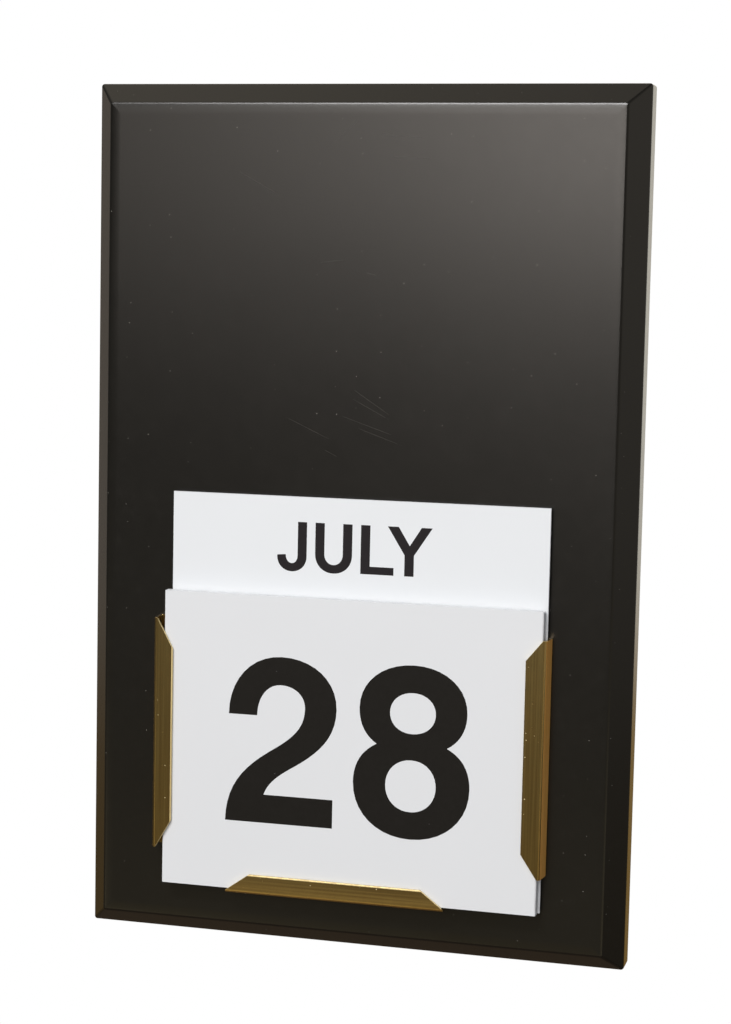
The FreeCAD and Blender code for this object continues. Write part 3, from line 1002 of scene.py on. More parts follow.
class Side(Enum):
    """The three rails."""

    LEFT = RailShape(
        "left_rail", 0.0, BRASS_LEFT, lip=6.9 * MM, lean=1.0 * MM, inset=1.1 * MM,
        cuts=(10.1 * MM, 10.8 * MM), worn=0.35 * MM,
    )
    RIGHT = RailShape(
        "right_rail", 180.0, BRASS_RIGHT, lip=6.9 * MM, lean=1.0 * MM, inset=1.1 * MM,
        cuts=(7.1 * MM, 8.6 * MM), worn=0.0,
    )
    BOTTOM = RailShape(
        "bottom_rail", -90.0, BRASS_LEVEL, lip=7.1 * MM, lean=0.0, inset=0.9 * MM,
        cuts=(8.3 * MM, 8.6 * MM), worn=0.45 * MM,
    )


@dataclass
class Rail:
    """A channel rail of folded brass sheet, and the screws in its leg."""

    side: Side
    thick: float = 0.9 * MM
    bend: float = 0.2 * MM
    leg: float = 12.6 * MM
    screw_edge: float = 2.8 * MM
    screw_inset: float = 14.0 * MM
    bore: float = 1.06 * MM
    edge_reach: float = 0.3 * MM
    worn_depth: float = 0.17 * MM
    web_slot: int = 1
    edge_slot: int = 2

    def __post_init__(self) -> None:
        """Reads the rail's length, depth and place from the model."""
        self.shape = self.side.value
        low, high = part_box(self.shape.node)
        middle = (low + high) / 2
        if self.side is Side.BOTTOM:
            self.length = high.x - low.x
            origin = (middle.x, high.y, high.z - self.leg)
        else:
            self.length = high.z - low.z
            out = -1 if self.side is Side.LEFT else 1
            inner = high.x if self.side is Side.LEFT else low.x
            origin = (inner + out * self.leg, high.y, middle.z)
        self.depth = high.y - low.y
        self.place = Matrix.Translation(origin) @ Matrix.Rotation(math.radians(self.shape.degrees), 4, "Y")
        self.screw_line = self.leg - self.screw_edge
        self.holes = [side * (self.length / 2 - self.screw_inset) for side in (-1, 1)]

    def _web(self, y: float) -> float:
        """The X of the web's inner side at a depth."""
        return self.thick - self.shape.lean * y / self.depth

    def _on_lip(self, y: float) -> bool:
        """Whether a depth lies within the lip's sheet."""
        return y < -self.depth + self.thick * 1.05

    def _on_leg(self, face: bmesh.types.BMFace, sheets: float) -> bool:
        """Whether a face's middle is within so many sheets of the plaque."""
        return face.calc_center_median().y > -self.thick * sheets

    def _section(self, bm: bmesh.types.BMesh) -> None:
        """Draws the rail's folded section, with the lip's outer part as a face of its own.

        Args:
            bm: The mesh that is drawn in.
        """
        end = -self.length / 2
        front, inside = -self.depth, -self.depth + self.thick
        lean = self.shape.lean
        split = lean + max(self.shape.inset, self.thick + 2 * self.bend)
        corners = [
            (0.0, 0.0), (lean, front), (split, front), (split, inside), (self._web(inside), inside),
            (self._web(-self.thick), -self.thick), (self.leg, -self.thick), (self.leg, 0.0),
        ]
        verts = [bm.verts.new((x, y, end)) for x, y in corners]
        bm.faces.new(verts)
        reach = lean + self.shape.lip
        edge = [(reach, front)]
        if self.shape.worn:
            edge = [(reach - self.shape.worn, front), (reach, front + self.worn_depth)]
        edge.append((reach, inside))
        bm.faces.new((verts[2], *(bm.verts.new((x, y, end)) for x, y in edge), verts[3]))
        for bent, radius in ((verts[4:6], self.bend), (verts[0:2], self.bend + self.thick)):
            bmesh.ops.bevel(
                bm, geom=bent, offset=radius, offset_type="OFFSET", segments=8, profile=0.5,
                affect="VERTICES", material=-1, clamp_overlap=True,
            )

    def _cut_lip(self, bm: bmesh.types.BMesh) -> None:
        """Slants the lip's two ends, from its inset by the fold to its free edge.

        Args:
            bm: The rail's mesh, with square ends.
        """
        start, reach = self.shape.lean + self.shape.inset, self.shape.lip - self.shape.inset
        for vert in bm.verts:
            along = (vert.co.x - start) / reach
            if self._on_lip(vert.co.y) and along > 0.0:
                low, high = self.shape.cuts
                vert.co.z += low * along if vert.co.z < 0.0 else -high * along

    def _drill(self, bm: bmesh.types.BMesh) -> None:
        """Makes the leg's countersunk holes.

        Args:
            bm: The rail's mesh, with flat faces on both sides of the leg.
        """
        bm.normal_update()
        leg_front = open_face(bm, lambda face: face.normal.y < -0.9 and self._on_leg(face, 1.1))
        leg_back = open_face(bm, lambda face: face.normal.y > 0.9 and self._on_leg(face, 0.1))
        mouths = [ring(bm, self.screw_line, -self.thick, z, self.bore + self.thick) for z in self.holes]
        ends = [ring(bm, self.screw_line, 0.0, z, self.bore) for z in self.holes]
        fill_runs(bm, [leg_front, *mouths])
        fill_runs(bm, [leg_back, *ends])
        for mouth, end in zip(mouths, ends):
            bmesh.ops.bridge_loops(bm, edges=mouth + end)

    def _finish(self, bm: bmesh.types.BMesh) -> None:
        """Gives the web's outside and the lip's cut edges finishes of their own; the edges' paler finish is
        partly painted highlight.

        Args:
            bm: The rail's mesh, with its edges rounded off.
        """
        bm.normal_update()
        for face in bm.faces:
            way, front = face.normal, self._on_lip(face.calc_center_median().y)
            # Partly painted highlight: cut ends and the free-edge strip get the paler edge brass
            if front and (abs(way.z) > 0.3 or (self.shape.worn and way.x > 0.12)):
                face.material_index = self.edge_slot
            elif way.x < -0.9:
                face.material_index = self.web_slot

    def build(self) -> None:
        """Makes the rail and its screws."""
        bm = bmesh.new()
        self._section(bm)
        thicken(bm, (0.0, 0.0, self.length))
        self._cut_lip(bm)
        bmesh.ops.recalc_face_normals(bm, faces=bm.faces)
        round_off(bm, sharp_edges(bm, 30.0), self.edge_reach, 4)
        self._finish(bm)
        self._drill(bm)
        bmesh.ops.transform(bm, matrix=self.place, verts=bm.verts)
        node, finish = self.shape.node, self.shape.finish
        finishes = [finish, BRASS_WEB, BRASS_EDGE]
        Piece(f"{node}_dressed", "rail_brass", finishes, replaces=(node,)).settle(bm)
        screws = Screws(f"{node}_screws", "screw_brass", finish)
        sunk = -self.thick + SCREW_SINK
        screws.build([self.place @ Vector((self.screw_line, sunk, z)) for z in self.holes])


@dataclass
class Screws:
    """Countersunk wood screws whose heads look along one direction."""

    node: str
    slot: str
    finish: Finish
    shank: float = 1.0 * MM
    head: float = 0.85 * MM
    length: float = 9.0 * MM
    drive: float = 0.5 * MM
    cross: bool = False
    facing: float = -1.0
    rim: float = 0.06 * MM
    first_turn: float = 25.0
    next_turn: float = 70.0

    def _one(self, bm: bmesh.types.BMesh, place: Vector, degrees: float) -> None:
        """Makes one screw.

        Args:
            bm: The mesh that it is made in.
            place: The middle of its head's face.
            degrees: How far its slot is turned.
        """
        screw = bmesh.new()
        radius = self.shank + self.head
        profile = [
            (radius - self.rim, 0.0), (radius, self.rim), (self.shank, self.head),
            (self.shank, self.length - 2 * self.shank), (0.0, self.length),
        ]
        verts = [screw.verts.new((x, y, 0.0)) for x, y in profile]
        edges = [screw.edges.new(pair) for pair in zip(verts, verts[1:])]
        bmesh.ops.spin(
            screw, geom=verts + edges, cent=(0.0, 0.0, 0.0), axis=(0.0, 1.0, 0.0), dvec=(0.0, 0.0, 0.0),
            angle=math.radians(360.0), steps=32, use_merge=True, use_normal_flip=False, use_duplicate=False,
        )
        bmesh.ops.remove_doubles(screw, verts=screw.verts, dist=JOINED)
        rim = [edge for edge in screw.edges if edge.is_boundary]
        reach, half = self.shank + self.head / 2, self.drive / 2
        corners = [(reach, half), (-reach, half), (-reach, -half), (reach, -half)]
        if self.cross:
            corners = [
                (reach, half), (half, half), (half, reach), (-half, reach), (-half, half), (-reach, half),
                (-reach, -half), (-half, -half), (-half, -reach), (half, -reach), (half, -half),
                (reach, -half),
            ]
        pen = Pen(screw, 0.0, *corners[0])
        for corner in corners[1:]:
            pen.line(*corner)
        drive = pen.close()
        fill_runs(screw, [rim, drive])
        fill_runs(screw, [sweep_run(screw, drive, self.drive)])
        turn = Matrix.Rotation(math.radians(degrees), 4, "Y")
        way = Matrix.Identity(4) if self.facing < 0 else Matrix.Rotation(math.pi, 4, "Z")
        bmesh.ops.transform(screw, matrix=Matrix.Translation(place) @ way @ turn, verts=screw.verts)
        loose = bpy.data.meshes.new("loose")
        screw.to_mesh(loose)
        screw.free()
        bm.from_mesh(loose)
        bpy.data.meshes.remove(loose)

    def build(self, places: list[Vector]) -> None:
        """Makes the screws.

        Args:
            places: The middle of each head's face.
        """
        bm = bmesh.new()
        for index, place in enumerate(places):
            self._one(bm, place, self.first_turn + self.next_turn * index)
        Piece(f"{self.node}_dressed", self.slot, [self.finish], replaces=(self.node,)).settle(bm)


# Lettering: a plain bold face of upright stems, drawn on a height of 100.
# M starts an outline, L is a line and C a cubic curve. H and V are a quarter turn that leaves
# level and arrives upright, or the other way round. Z closes the outline.
# Each letter has the space on its left, the space on its right and its outlines.

LETTERS: dict[str, tuple[float, float, str]] = {
    "0": (5.4, 5.4, "M 33.5 101 H 67 50 V 33.5 -2 H 0 50 V 33.5 101 Z"
                    " M 33.5 84.6 H 19.6 50 V 33.5 14.4 H 47.4 50 V 33.5 84.6 Z"),
    "1": (5.4, 9, "M 44 100 L 44 0 L 24.4 0 L 24.4 69 L 4 69 L 4 82.5 C 17.5 83 26.5 88.5 29 100 Z"),
    "2": (5.4, 5.4, "M 1.5 65 V 34 101 H 68.2 71.5 C 68.2 54.5 57.5 45 43.5 36 C 33.5 30 26.5 25 23.9 17.2"
                    " L 66.7 17.2 L 66.7 0 L 0 0 C 0.4 20.5 9.5 32 27 43.5 C 41.5 52.5 48.8 59 48.8 71"
                    " V 33.6 84.1 H 19.2 65 Z"),
    "3": (5.4, 5.4, "M 1.5 69 V 33 101 H 64 74 C 64 64.5 60 57.5 50.5 53.5 C 61.5 50 67.5 42 67.5 30"
                    " V 33.5 -2 H 0 32 L 19 32 V 33.5 14.4 H 48 29.5 V 32 45 L 26 45 L 26 60 L 32 60"
                    " H 45 72.6 V 33 84.6 H 19.5 69 Z"),
    "4": (5.4, 5.4, "M 39 100 L 59 100 L 59 36 L 70.5 36 L 70.5 20.5 L 59 20.5 L 59 0 L 40.4 0 L 40.4 20.5"
                    " L 0 20.5 L 0 38 Z M 40.4 36 L 40.4 76.5 L 15.3 36 Z"),
    "5": (5.4, 5.4, "M 61.5 100 L 11 100 L 3.2 45.5 L 20.4 45.5 C 23.5 49.5 28 52 33.5 52 H 48.3 33.5"
                    " V 33.2 14.4 H 19.4 28.5 L 0 28.5 V 33.2 -2 H 67.8 33.5 V 38 66.5"
                    " C 32 66.5 27 64.5 22.8 61 L 25.8 83.6 L 61.5 83.6 Z"),
    "6": (5.4, 5.4, "M 65 73.5 V 35.5 101 H 0 48 V 34.5 -2 H 68 32 V 38 66 C 29.5 66 23 62.5 19.3 57.5"
                    " C 19.8 74 25 84.8 35 84.8 C 41 84.8 45 81 46.2 73.5 Z"
                    " M 34.3 51.5 H 19.8 32.5 V 34.3 14.2 H 48.6 32.5 V 34.3 51.5 Z"),
    "7": (5.4, 5.4, "M 0 100 L 65.5 100 L 65.5 85 C 46 63 34 34 32.5 0 L 12 0 C 14.5 33 27 61 45 83.4"
                    " L 0 83.4 Z"),
    "8": (5.4, 5.4, "M 35.6 101.2 H 68.1 74.2 C 68.1 64.6 64 57.6 56.4 53.2 C 65.4 48.8 70.4 41 70.4 29.6"
                    " V 35.4 -2.6 H 0 29.6 C 0 41 5.2 48.8 14 53.2 C 7 57.6 3.2 64.6 3.2 74.2 V 35.6 101.2 Z"
                    " M 35.5 84.8 H 21.7 72.6 V 35.5 60.4 H 49.3 72.6 V 35.5 84.8 Z"
                    " M 35 44.8 H 19.7 29.3 V 35 13.8 H 50.2 29.3 V 35 44.8 Z"),
    "A": (1, 1, "M 29.5 100 L 51.5 100 L 81 0 L 60 0 L 54.3 20 L 26 20 L 20.3 0 L 0 0 Z"
                " M 30.6 36 L 49.8 36 L 40.3 70 Z"),
    "B": (9, 5, "M 0 100 L 38 100 H 67.5 74.5 C 67.5 64.5 63 57 54.5 53.5 C 65 50.5 72 42 72 29 V 39 0"
                " L 0 0 Z M 19.5 84 L 36 84 H 48.2 72.8 V 36 61.5 L 19.5 61.5 Z"
                " M 19.5 46 L 38 46 H 52.3 31 V 38 16 L 19.5 16 Z"),
    "C": (5, 4, "M 75.3 65.5 C 73.5 88 60 102 39.5 102 H 0 50 V 39.5 -2.2 C 60.5 -2.2 74 12 75.5 35.5"
                " L 56 35.5 C 54.8 21.5 49 14.3 39.8 14.3 H 20 50 V 39.8 85.5"
                " C 49 85.5 54.5 78.5 55.8 65.5 Z"),
    "D": (9, 5, "M 0 100 L 34 100 H 76.5 50 V 34 0 L 0 0 Z"
                " M 19.5 83.8 L 33 83.8 H 56.5 50 V 33 16.2 L 19.5 16.2 Z"),
    "E": (9, 4, "M 0 0 L 0 100 L 64 100 L 64 83.8 L 19.5 83.8 L 19.5 59.5 L 60 59.5 L 60 43.5 L 19.5 43.5"
                " L 19.5 16.2 L 65.5 16.2 L 65.5 0 Z"),
    "F": (9, 2, "M 0 0 L 0 100 L 61 100 L 61 83.8 L 19.5 83.8 L 19.5 58 L 56 58 L 56 42 L 19.5 42"
                " L 19.5 0 Z"),
    "G": (5, 8, "M 77 68 C 74.5 89 60.5 102 40.5 102 H 0 50 V 38.5 -2.2 C 49 -2.2 57 2 62.5 10 L 64.5 0"
                " L 78.5 0 L 78.5 53.5 L 42 53.5 L 42 38.2 L 59.8 38.2 C 58.5 23.5 51 14.4 40.5 14.4"
                " H 20 50 V 40.5 85.6 C 50 85.6 56 79 57.5 68 Z"),
    "H": (9, 9, "M 0 0 L 0 100 L 19.5 100 L 19.5 61 L 58 61 L 58 100 L 77.5 100 L 77.5 0 L 58 0"
                " L 58 44.5 L 19.5 44.5 L 19.5 0 Z"),
    "I": (9, 9, "M 0 0 L 0 100 L 19.5 100 L 19.5 0 Z"),
    "J": (3, 9, "M 62.6 100 L 62.6 29 V 31.5 -2.4 H 0 29 L 0.6 31 L 18.2 32.5 V 31.5 14.6 H 43.4 31"
                " L 43.4 100 Z"),
    "L": (9, 2, "M 0 0 L 0 100 L 19.5 100 L 19.5 15.8 L 69.4 15.8 L 69.4 0 Z"),
    "M": (9, 9, "M 0 0 L 0 100 L 28 100 L 46 30 L 64 100 L 92 100 L 92 0 L 74 0 L 74 76 L 54.5 0"
                " L 37.5 0 L 18 76 L 18 0 Z"),
    "N": (9, 9, "M 0 0 L 0 100 L 20.5 100 L 59 33 L 59 100 L 77.5 100 L 77.5 0 L 57.5 0 L 18.5 67"
                " L 18.5 0 Z"),
    "O": (5, 5, "M 42 102 H 84 50 V 42 -2.2 H 0 50 V 42 102 Z"
                " M 42 85.5 H 20 50 V 42 14.3 H 64 50 V 42 85.5 Z"),
    "P": (9, 3, "M 0 0 L 0 100 L 38 100 H 70 68.5 V 38 36.5 L 19.5 36.5 L 19.5 0 Z"
                " M 19.5 83.8 L 35.5 83.8 H 50.5 68.3 V 35.5 52.8 L 19.5 52.8 Z"),
    "R": (9, 2, "M 0 0 L 0 100 L 41 100 H 72.5 71.5 C 72.5 60 67 51.5 57.5 48 C 68 44 70.5 36 71 22"
                " C 71.3 10 72 5 75.5 0 L 54 0 C 51.5 4 51.5 11 51 21 C 50.5 34.5 46.5 39 36.5 39"
                " L 19.5 39 L 19.5 0 Z M 19.5 83.8 L 38 83.8 H 53 69.5 V 38 55 L 19.5 55 Z"),
    "S": (4, 4, "M 65.8 69 V 34 102 H 2 73 C 2 56 11.5 49 30 44.5 C 44.5 41 50 37 50 28.3 V 35 13.8"
                " H 19.3 33 L 0 33 V 34.5 -2.2 H 70 30.5 C 70 47 58.5 54 41 58.5 C 27 62 21.8 65.5 21.8 74"
                " V 33.8 86 H 46.5 69 Z"),
    "T": (2, 2, "M 26.2 0 L 26.2 83.5 L 0 83.5 L 0 100 L 72 100 L 72 83.5 L 45.8 83.5 L 45.8 0 Z"),
    "U": (9, 9, "M 0 100 L 0 36 V 39 -2.5 H 78 36 L 78 100 L 58.4 100 L 58.4 37 V 39 15 H 19.5 37"
                " L 19.5 100 Z"),
    "V": (1, 1, "M 29.5 0 L 0 100 L 21 100 L 40.3 27 L 59.5 100 L 80.5 100 L 50.5 0 Z"),
    "Y": (1, 1, "M 0 100 L 22.8 100 L 46.5 61.8 L 70.5 100 L 93 100 L 55.5 42.6 L 55.5 0 L 36 0"
                " L 36 42.6 Z"),
}
# How much nearer a pair of letters stands
CLOSER: dict[str, float] = {"LY": -16.6, "AY": -11.0, "RY": -4.0, "OV": -3.0}
# How far a quarter turn's handles reach
FULLNESS = 0.58
# Twice the middle that a 6 is turned about
TWICE_MIDDLE = Vector((68.0, 99.0))


@dataclass(frozen=True)
class Stroke:
    """One piece of an outline, as the four points of a cubic curve."""

    points: tuple[Vector, Vector, Vector, Vector]
    straight: bool

    def turned(self) -> "Stroke":
        """The stroke turned half round, which makes a 9 of a 6."""
        return Stroke(tuple(TWICE_MIDDLE - point for point in self.points), self.straight)


@dataclass(frozen=True)
class Lettering:
    """Words in the plain bold face, as thin ink on a card."""

    words: str
    height: float
    widest: float

    @staticmethod
    def _outlines(letter: str) -> list[list[Stroke]]:
        """A letter's closed outlines, each as its strokes in order. A 9 is a 6 that is turned round."""
        marks = iter(LETTERS["6" if letter == "9" else letter][2].split())

        def take() -> Vector:
            """The outline's next point."""
            return Vector((float(next(marks)), float(next(marks))))

        outlines: list[list[Stroke]] = []
        pen = start = Vector((0.0, 0.0))
        for mark in marks:
            if mark == "M":
                pen = start = take()
                outlines.append([])
                continue
            if mark == "C":
                points = (pen, take(), take(), take())
            else:
                end = start if mark == "Z" else take()
                way = end - pen
                level, upright = Vector((way.x, 0.0)), Vector((0.0, way.y))
                leave, arrive = {"H": (level, upright), "V": (upright, level)}.get(mark, (way / 2, way / 2))
                points = (pen, pen + leave * FULLNESS, end - arrive * FULLNESS, end)
            if (points[3] - pen).length > NEAR:
                outlines[-1].append(Stroke(points, mark in "LZ"))
            pen = points[3]
        if letter == "9":
            outlines = [[stroke.turned() for stroke in outline] for outline in outlines]
        return outlines

    def _layout(self) -> tuple[list[tuple[str, float]], float]:
        """Where each letter starts, on a height of 100, and how wide the words are."""
        places: list[tuple[str, float]] = []
        along = 0.0
        for index, letter in enumerate(self.words):
            before, after, _ = LETTERS["6" if letter == "9" else letter]
            ink = max(p.x for outline in self._outlines(letter) for s in outline for p in s.points)
            if index:
                along += before + CLOSER.get(self.words[index - 1:index + 1], 0.0)
            places.append((letter, along))
            along += ink + (after if index < len(self.words) - 1 else 0.0)
        return places, along

    def mesh(self, name: str, thick: float) -> bpy.types.Mesh:
        """Makes the words as a flat solid in the XY plane, about X = 0 on the line Y = 0.

        Args:
            name: The mesh's name.
            thick: The solid's thickness, half of it on each side of the plane.

        Returns:
            The mesh.
        """
        curve = bpy.data.curves.new(name, "CURVE")
        curve.dimensions = "2D"
        curve.fill_mode = "BOTH"
        curve.resolution_u = 10
        curve.extrude = thick / 2
        places, width = self._layout()
        scale = min(self.height / 100.0, self.widest / width)
        for letter, along in places:
            shift = Vector((along - width / 2, 0.0))
            for outline in self._outlines(letter):
                spline = curve.splines.new("BEZIER")
                spline.bezier_points.add(len(outline) - 1)
                spline.use_cyclic_u = True
                for index, point in enumerate(spline.bezier_points):
                    before, after = outline[index - 1], outline[index]
                    point.handle_left_type = "VECTOR" if before.straight else "FREE"
                    point.handle_right_type = "VECTOR" if after.straight else "FREE"
                    point.co = ((after.points[0] + shift) * scale).to_3d()
                    point.handle_left = ((before.points[2] + shift) * scale).to_3d()
                    point.handle_right = ((after.points[1] + shift) * scale).to_3d()
        drawn = bpy.data.objects.new(name, curve)
        bpy.context.scene.collection.objects.link(drawn)
        mesh = bpy.data.meshes.new_from_object(drawn)
        bpy.data.objects.remove(drawn)
        bpy.data.curves.remove(curve)
        return mesh


@dataclass
class CardPack:
    """A pack of loose cards, each printed on its two sides."""

    prefix: str
    sides: list[str]
    card: CardStock
    printed: Ink
    letter_height: float
    line: float
    shift: float
    widest: float = 112.0 * MM
    ink: float = 0.008 * MM

    def _print(self, node: str, words: str, front: bool) -> None:
        """Prints one side of a card.

        Args:
            node: The card.
            words: What is printed.
            front: Whether it is the side towards the room.
        """
        low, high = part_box(node)
        name = f"{node}_{'front' if front else 'back'}_print"
        mesh = Lettering(words, self.letter_height, self.widest).mesh(name, self.ink)
        upright = Matrix.Rotation(math.radians(90.0), 4, "X")
        middle = (low.x + high.x) / 2
        if front:
            place = Matrix.Translation((middle + self.shift, low.y - self.ink / 2, low.z + self.line))
        else:
            place = Matrix.Translation((middle - self.shift, high.y + self.ink / 2, low.z + self.line))
            place = place @ Matrix.Rotation(math.pi, 4, "Z")
        mesh.transform(place @ upright)
        mesh.shade_flat()
        Piece(name, "white_card", [self.printed], body=node).adopt(mesh)

    def build(self) -> None:
        """Dresses the pack's cards and prints them, two sides a card, from the front card back."""
        nodes = sorted(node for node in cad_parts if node.startswith(self.prefix))
        for index, node in enumerate(nodes):
            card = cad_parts[node]
            card.data.materials.clear()
            card.data.materials.append(self.card.material())
            for words, front in zip(self.sides[2 * index:2 * index + 2], (True, False)):
                if words:
                    self._print(node, words, front)
        log.info("%s: %d cards", self.prefix, len(nodes))


# Studio


@dataclass
class Viewpoint:
    """The camera: it looks at the plaque from the right and a little above."""

    yaw: float = -14.735
    pitch: float = 5.98
    roll: float = 1.199
    aside: float = -2.04 * MM
    away: float = 795.2 * MM
    above: float = -3.552 * MM
    pivot_depth: float = 9.2 * MM
    focal_pixels: float = 2255.2
    frame_height: float = 1024.0

    def place(self) -> None:
        """Makes the camera."""
        data = bpy.data.cameras.new("camera")
        data.sensor_width = 36.0
        data.lens = data.sensor_width * self.focal_pixels / self.frame_height
        data.clip_start = 0.05
        data.clip_end = 50.0
        turn = (Matrix.Rotation(math.radians(self.roll), 3, "Y")
                @ Matrix.Rotation(math.radians(self.pitch), 3, "X")
                @ Matrix.Rotation(math.radians(self.yaw), 3, "Z"))
        back = turn.transposed()
        centre = back @ Vector((-self.aside, -self.away, -self.above))
        centre.y -= self.pivot_depth
        camera = bpy.data.objects.new("camera", data)
        facing = back @ Matrix.Rotation(math.radians(90.0), 3, "X")
        camera.matrix_world = Matrix.Translation(centre) @ facing.to_4x4()
        bpy.context.scene.collection.objects.link(camera)
        bpy.context.scene.camera = camera


@dataclass(frozen=True)
class Softbox:
    """A soft, rectangular lamp that looks at a point."""

    name: str
    azimuth: float
    elevation: float
    distance: float
    width: float
    height: float
    watts: float
    colour: Colour = (1.0, 1.0, 1.0)

    def hang(self, target: Vector) -> None:
        """Makes the lamp.

        Args:
            target: The point that it looks at.
        """
        light = bpy.data.lights.new(self.name, "AREA")
        light.shape = "RECTANGLE"
        light.size = self.width
        light.size_y = self.height
        light.energy = self.watts
        light.color = self.colour
        lamp = bpy.data.objects.new(self.name, light)
        a, e = math.radians(self.azimuth), math.radians(self.elevation)
        away = Vector((math.sin(a) * math.cos(e), -math.cos(a) * math.cos(e), math.sin(e)))
        lamp.location = target + away * self.distance
        lamp.rotation_euler = (-away).to_track_quat("-Z", "Y").to_euler()
        lamp.visible_camera = False
        bpy.context.scene.collection.objects.link(lamp)


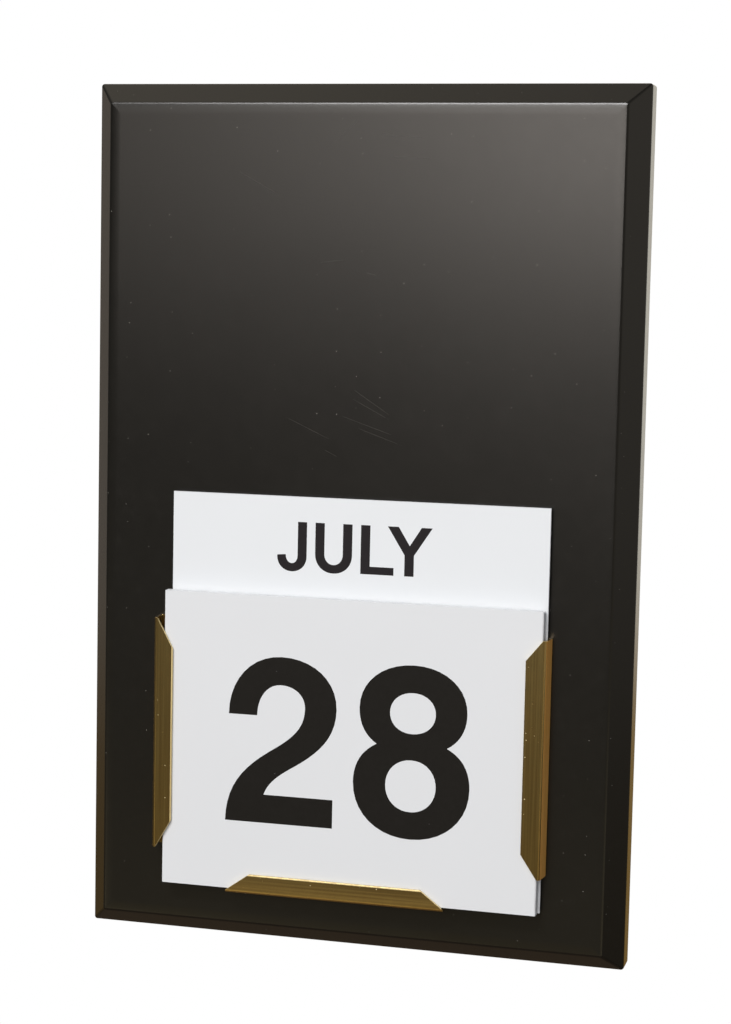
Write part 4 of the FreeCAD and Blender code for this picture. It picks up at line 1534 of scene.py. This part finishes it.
@dataclass
class Studio:
    """A pale floor far below, soft lamps, and a white surround that gloss sees dimmed in front."""

    floor_height: float = -1.2
    floor_half: float = 1.1
    floor_colour: Colour = (0.18, 0.13, 0.085)
    floor_glow: Colour = (0.84, 0.86, 0.88)
    ambient: Colour = (0.27, 0.285, 0.305)
    front: Colour = (0.125, 0.12, 0.11)
    rear_left: Colour = (1.32, 1.08, 0.86)
    rear_right: Colour = (1.12, 1.12, 1.0)
    above: Colour = (0.72, 0.65, 0.54)
    right: Colour = (0.52, 0.475, 0.41)
    below: tuple[tuple[float, Colour], ...] = (
        (0.02, (0.32, 0.26, 0.15)),
        (0.09, (0.34, 0.28, 0.16)),
        (0.17, (1.25, 1.03, 0.60)),
        (0.27, (0.26, 0.21, 0.12)),
        (0.45, (0.08, 0.07, 0.05)),
        (0.70, (0.135, 0.088, 0.036)),
        (0.97, (0.40, 0.245, 0.07)),
    )
    depths: float = 0.45
    lamps: tuple[Softbox, ...] = (
        Softbox("key", 1.5, 11.7, 1.6, 0.70, 0.42, 4.6, (1.0, 0.92, 0.85)),
        Softbox("key_edge", -15.0, 11.7, 1.6, 0.22, 0.42, 0.72, (1.0, 0.92, 0.85)),
        Softbox("key_fade", -24.0, 11.7, 1.6, 0.28, 0.42, 0.48, (1.0, 0.91, 0.82)),
        Softbox("middle", -6.5, 26.0, 6.0, 2.4, 1.8, 96.0, (1.0, 0.97, 0.93)),
        Softbox("high", -12.0, 46.0, 6.0, 2.0, 1.05, 188.0, (0.98, 0.96, 0.96)),
    )

    def _floor(self) -> None:
        """Lays the floor."""
        bm = bmesh.new()
        level = Matrix.Translation((0.0, 0.0, self.floor_height))
        bmesh.ops.create_grid(bm, x_segments=1, y_segments=1, size=self.floor_half, matrix=level)
        mesh = bpy.data.meshes.new("floor")
        bm.to_mesh(mesh)
        bm.free()
        material = bpy.data.materials.new("pale_floor")
        material.use_nodes = True
        shader = Shader(material.node_tree)
        seen = shader.node("ShaderNodeLightPath", output="Is Camera Ray")
        matt = shader.node("ShaderNodeBsdfDiffuse", {}, {"Color": self.floor_colour})
        glow = shader.node("ShaderNodeEmission", {}, {"Color": self.floor_glow, "Strength": seen})
        both = shader.node("ShaderNodeAddShader", {}, {0: matt, 1: glow})
        shader.node("ShaderNodeOutputMaterial", {}, {"Surface": both})
        mesh.materials.append(material)
        floor = bpy.data.objects.new("floor", mesh)
        bpy.context.scene.collection.objects.link(floor)
        floor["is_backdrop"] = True

    def _surround(self) -> None:
        """Sets what is seen, reflected and given off all round."""
        world = bpy.data.worlds.new("surround")
        world.use_nodes = True
        bpy.context.scene.world = world
        shader = Shader(world.node_tree)
        way = shader.node("ShaderNodeTexCoord", output="Generated")
        x, y, z = (shader.part(way, axis) for axis in "XYZ")
        right = (x * 2.6 - 1.4).clamped() * (z * 2.6 + 0.85).larger(0.45).clamped()
        sides = shader.mix(right, self.front, self.right)
        roof = ((z - 0.55) * 2.6).clamped() * (0.1 - x * 2.5).clamped()
        room = shader.mix(roof, sides, self.above)
        rear = shader.mix((x * 1.5 + 0.5).clamped(), self.rear_left, self.rear_right)
        upper = shader.mix(((y - 0.366) / 0.6).clamped() ** 1.6, room, rear)
        floor = shader.node("ShaderNodeValToRGB", {"stops": self.below}, {0: y * 0.5 + 0.5})
        deep = shader.mix(self.depths, floor, (0.0, 0.0, 0.0))
        under = shader.mix(((-0.5 - z) * 3.0).clamped(), floor, deep)
        level = z - y * 0.050 + 0.040
        mirrored = shader.mix(((level + 0.2) * 14.0).clamped(), under, upper)
        paths = {
            kind: shader.node("ShaderNodeLightPath", output=kind)
            for kind in ("Is Camera Ray", "Is Glossy Ray", "Is Transmission Ray")
        }
        shine = paths["Is Glossy Ray"].larger(paths["Is Transmission Ray"])
        light = shader.mix(shine, self.ambient, mirrored)
        colour = shader.mix(paths["Is Camera Ray"], light, (1.0, 1.0, 1.0))
        glow = shader.node("ShaderNodeBackground", {}, {"Color": colour, "Strength": 1.0})
        shader.node("ShaderNodeOutputWorld", {}, {"Surface": glow})

    def build(self) -> None:
        """Makes the studio."""
        bpy.context.scene.view_settings.view_transform = "Standard"
        self._surround()
        self._floor()
        for lamp in self.lamps:
            lamp.hang(Vector((0.0, 0.0, 0.0)))
        Viewpoint().place()
        log.info("studio: %d lamps", len(self.lamps))


MONTHS = (
    "JULY AUGUST SEPTEMBER OCTOBER NOVEMBER DECEMBER JANUARY FEBRUARY MARCH APRIL MAY JUNE"
).split()
DAYS = [str(day) for day in range(28, 32)] + [""] + [str(day) for day in range(1, 28)]


def corners() -> list[list[float]]:
    """The shown object's lowest and highest corner, as plain numbers."""
    return [list(corner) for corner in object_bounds()]


def main() -> None:
    """Builds the calendar and its studio."""
    logging.basicConfig(level=logging.INFO, format="%(name)s: %(message)s")
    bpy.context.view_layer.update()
    hanger = Hanger()
    Plaque(hanger).build()
    hanger.build()
    screws = Screws(
        "hanger_screws", "hanger_steel", STEEL, shank=1.5 * MM, head=1.45 * MM, length=12.0 * MM,
        drive=0.9 * MM, cross=True, facing=1.0,
    )
    screws.build([
        Vector((0.0, -SCREW_SINK, hanger.middle + side * hanger.screw_place)) for side in (-1, 1)
    ])
    for side in Side:
        Rail(side).build()
    CardPack(
        "day_card_", DAYS, SHADED_DAY_CARD, DAY_INK, letter_height=59.2 * MM, line=24.7 * MM, shift=-0.35 * MM,
    ).build()
    CardPack(
        "month_card_", MONTHS, MONTH_CARD, MONTH_INK,
        letter_height=17.15 * MM, line=114.85 * MM, shift=-1.22 * MM,
    ).build()
    Studio().build()


if __name__ == "__main__":
    main()
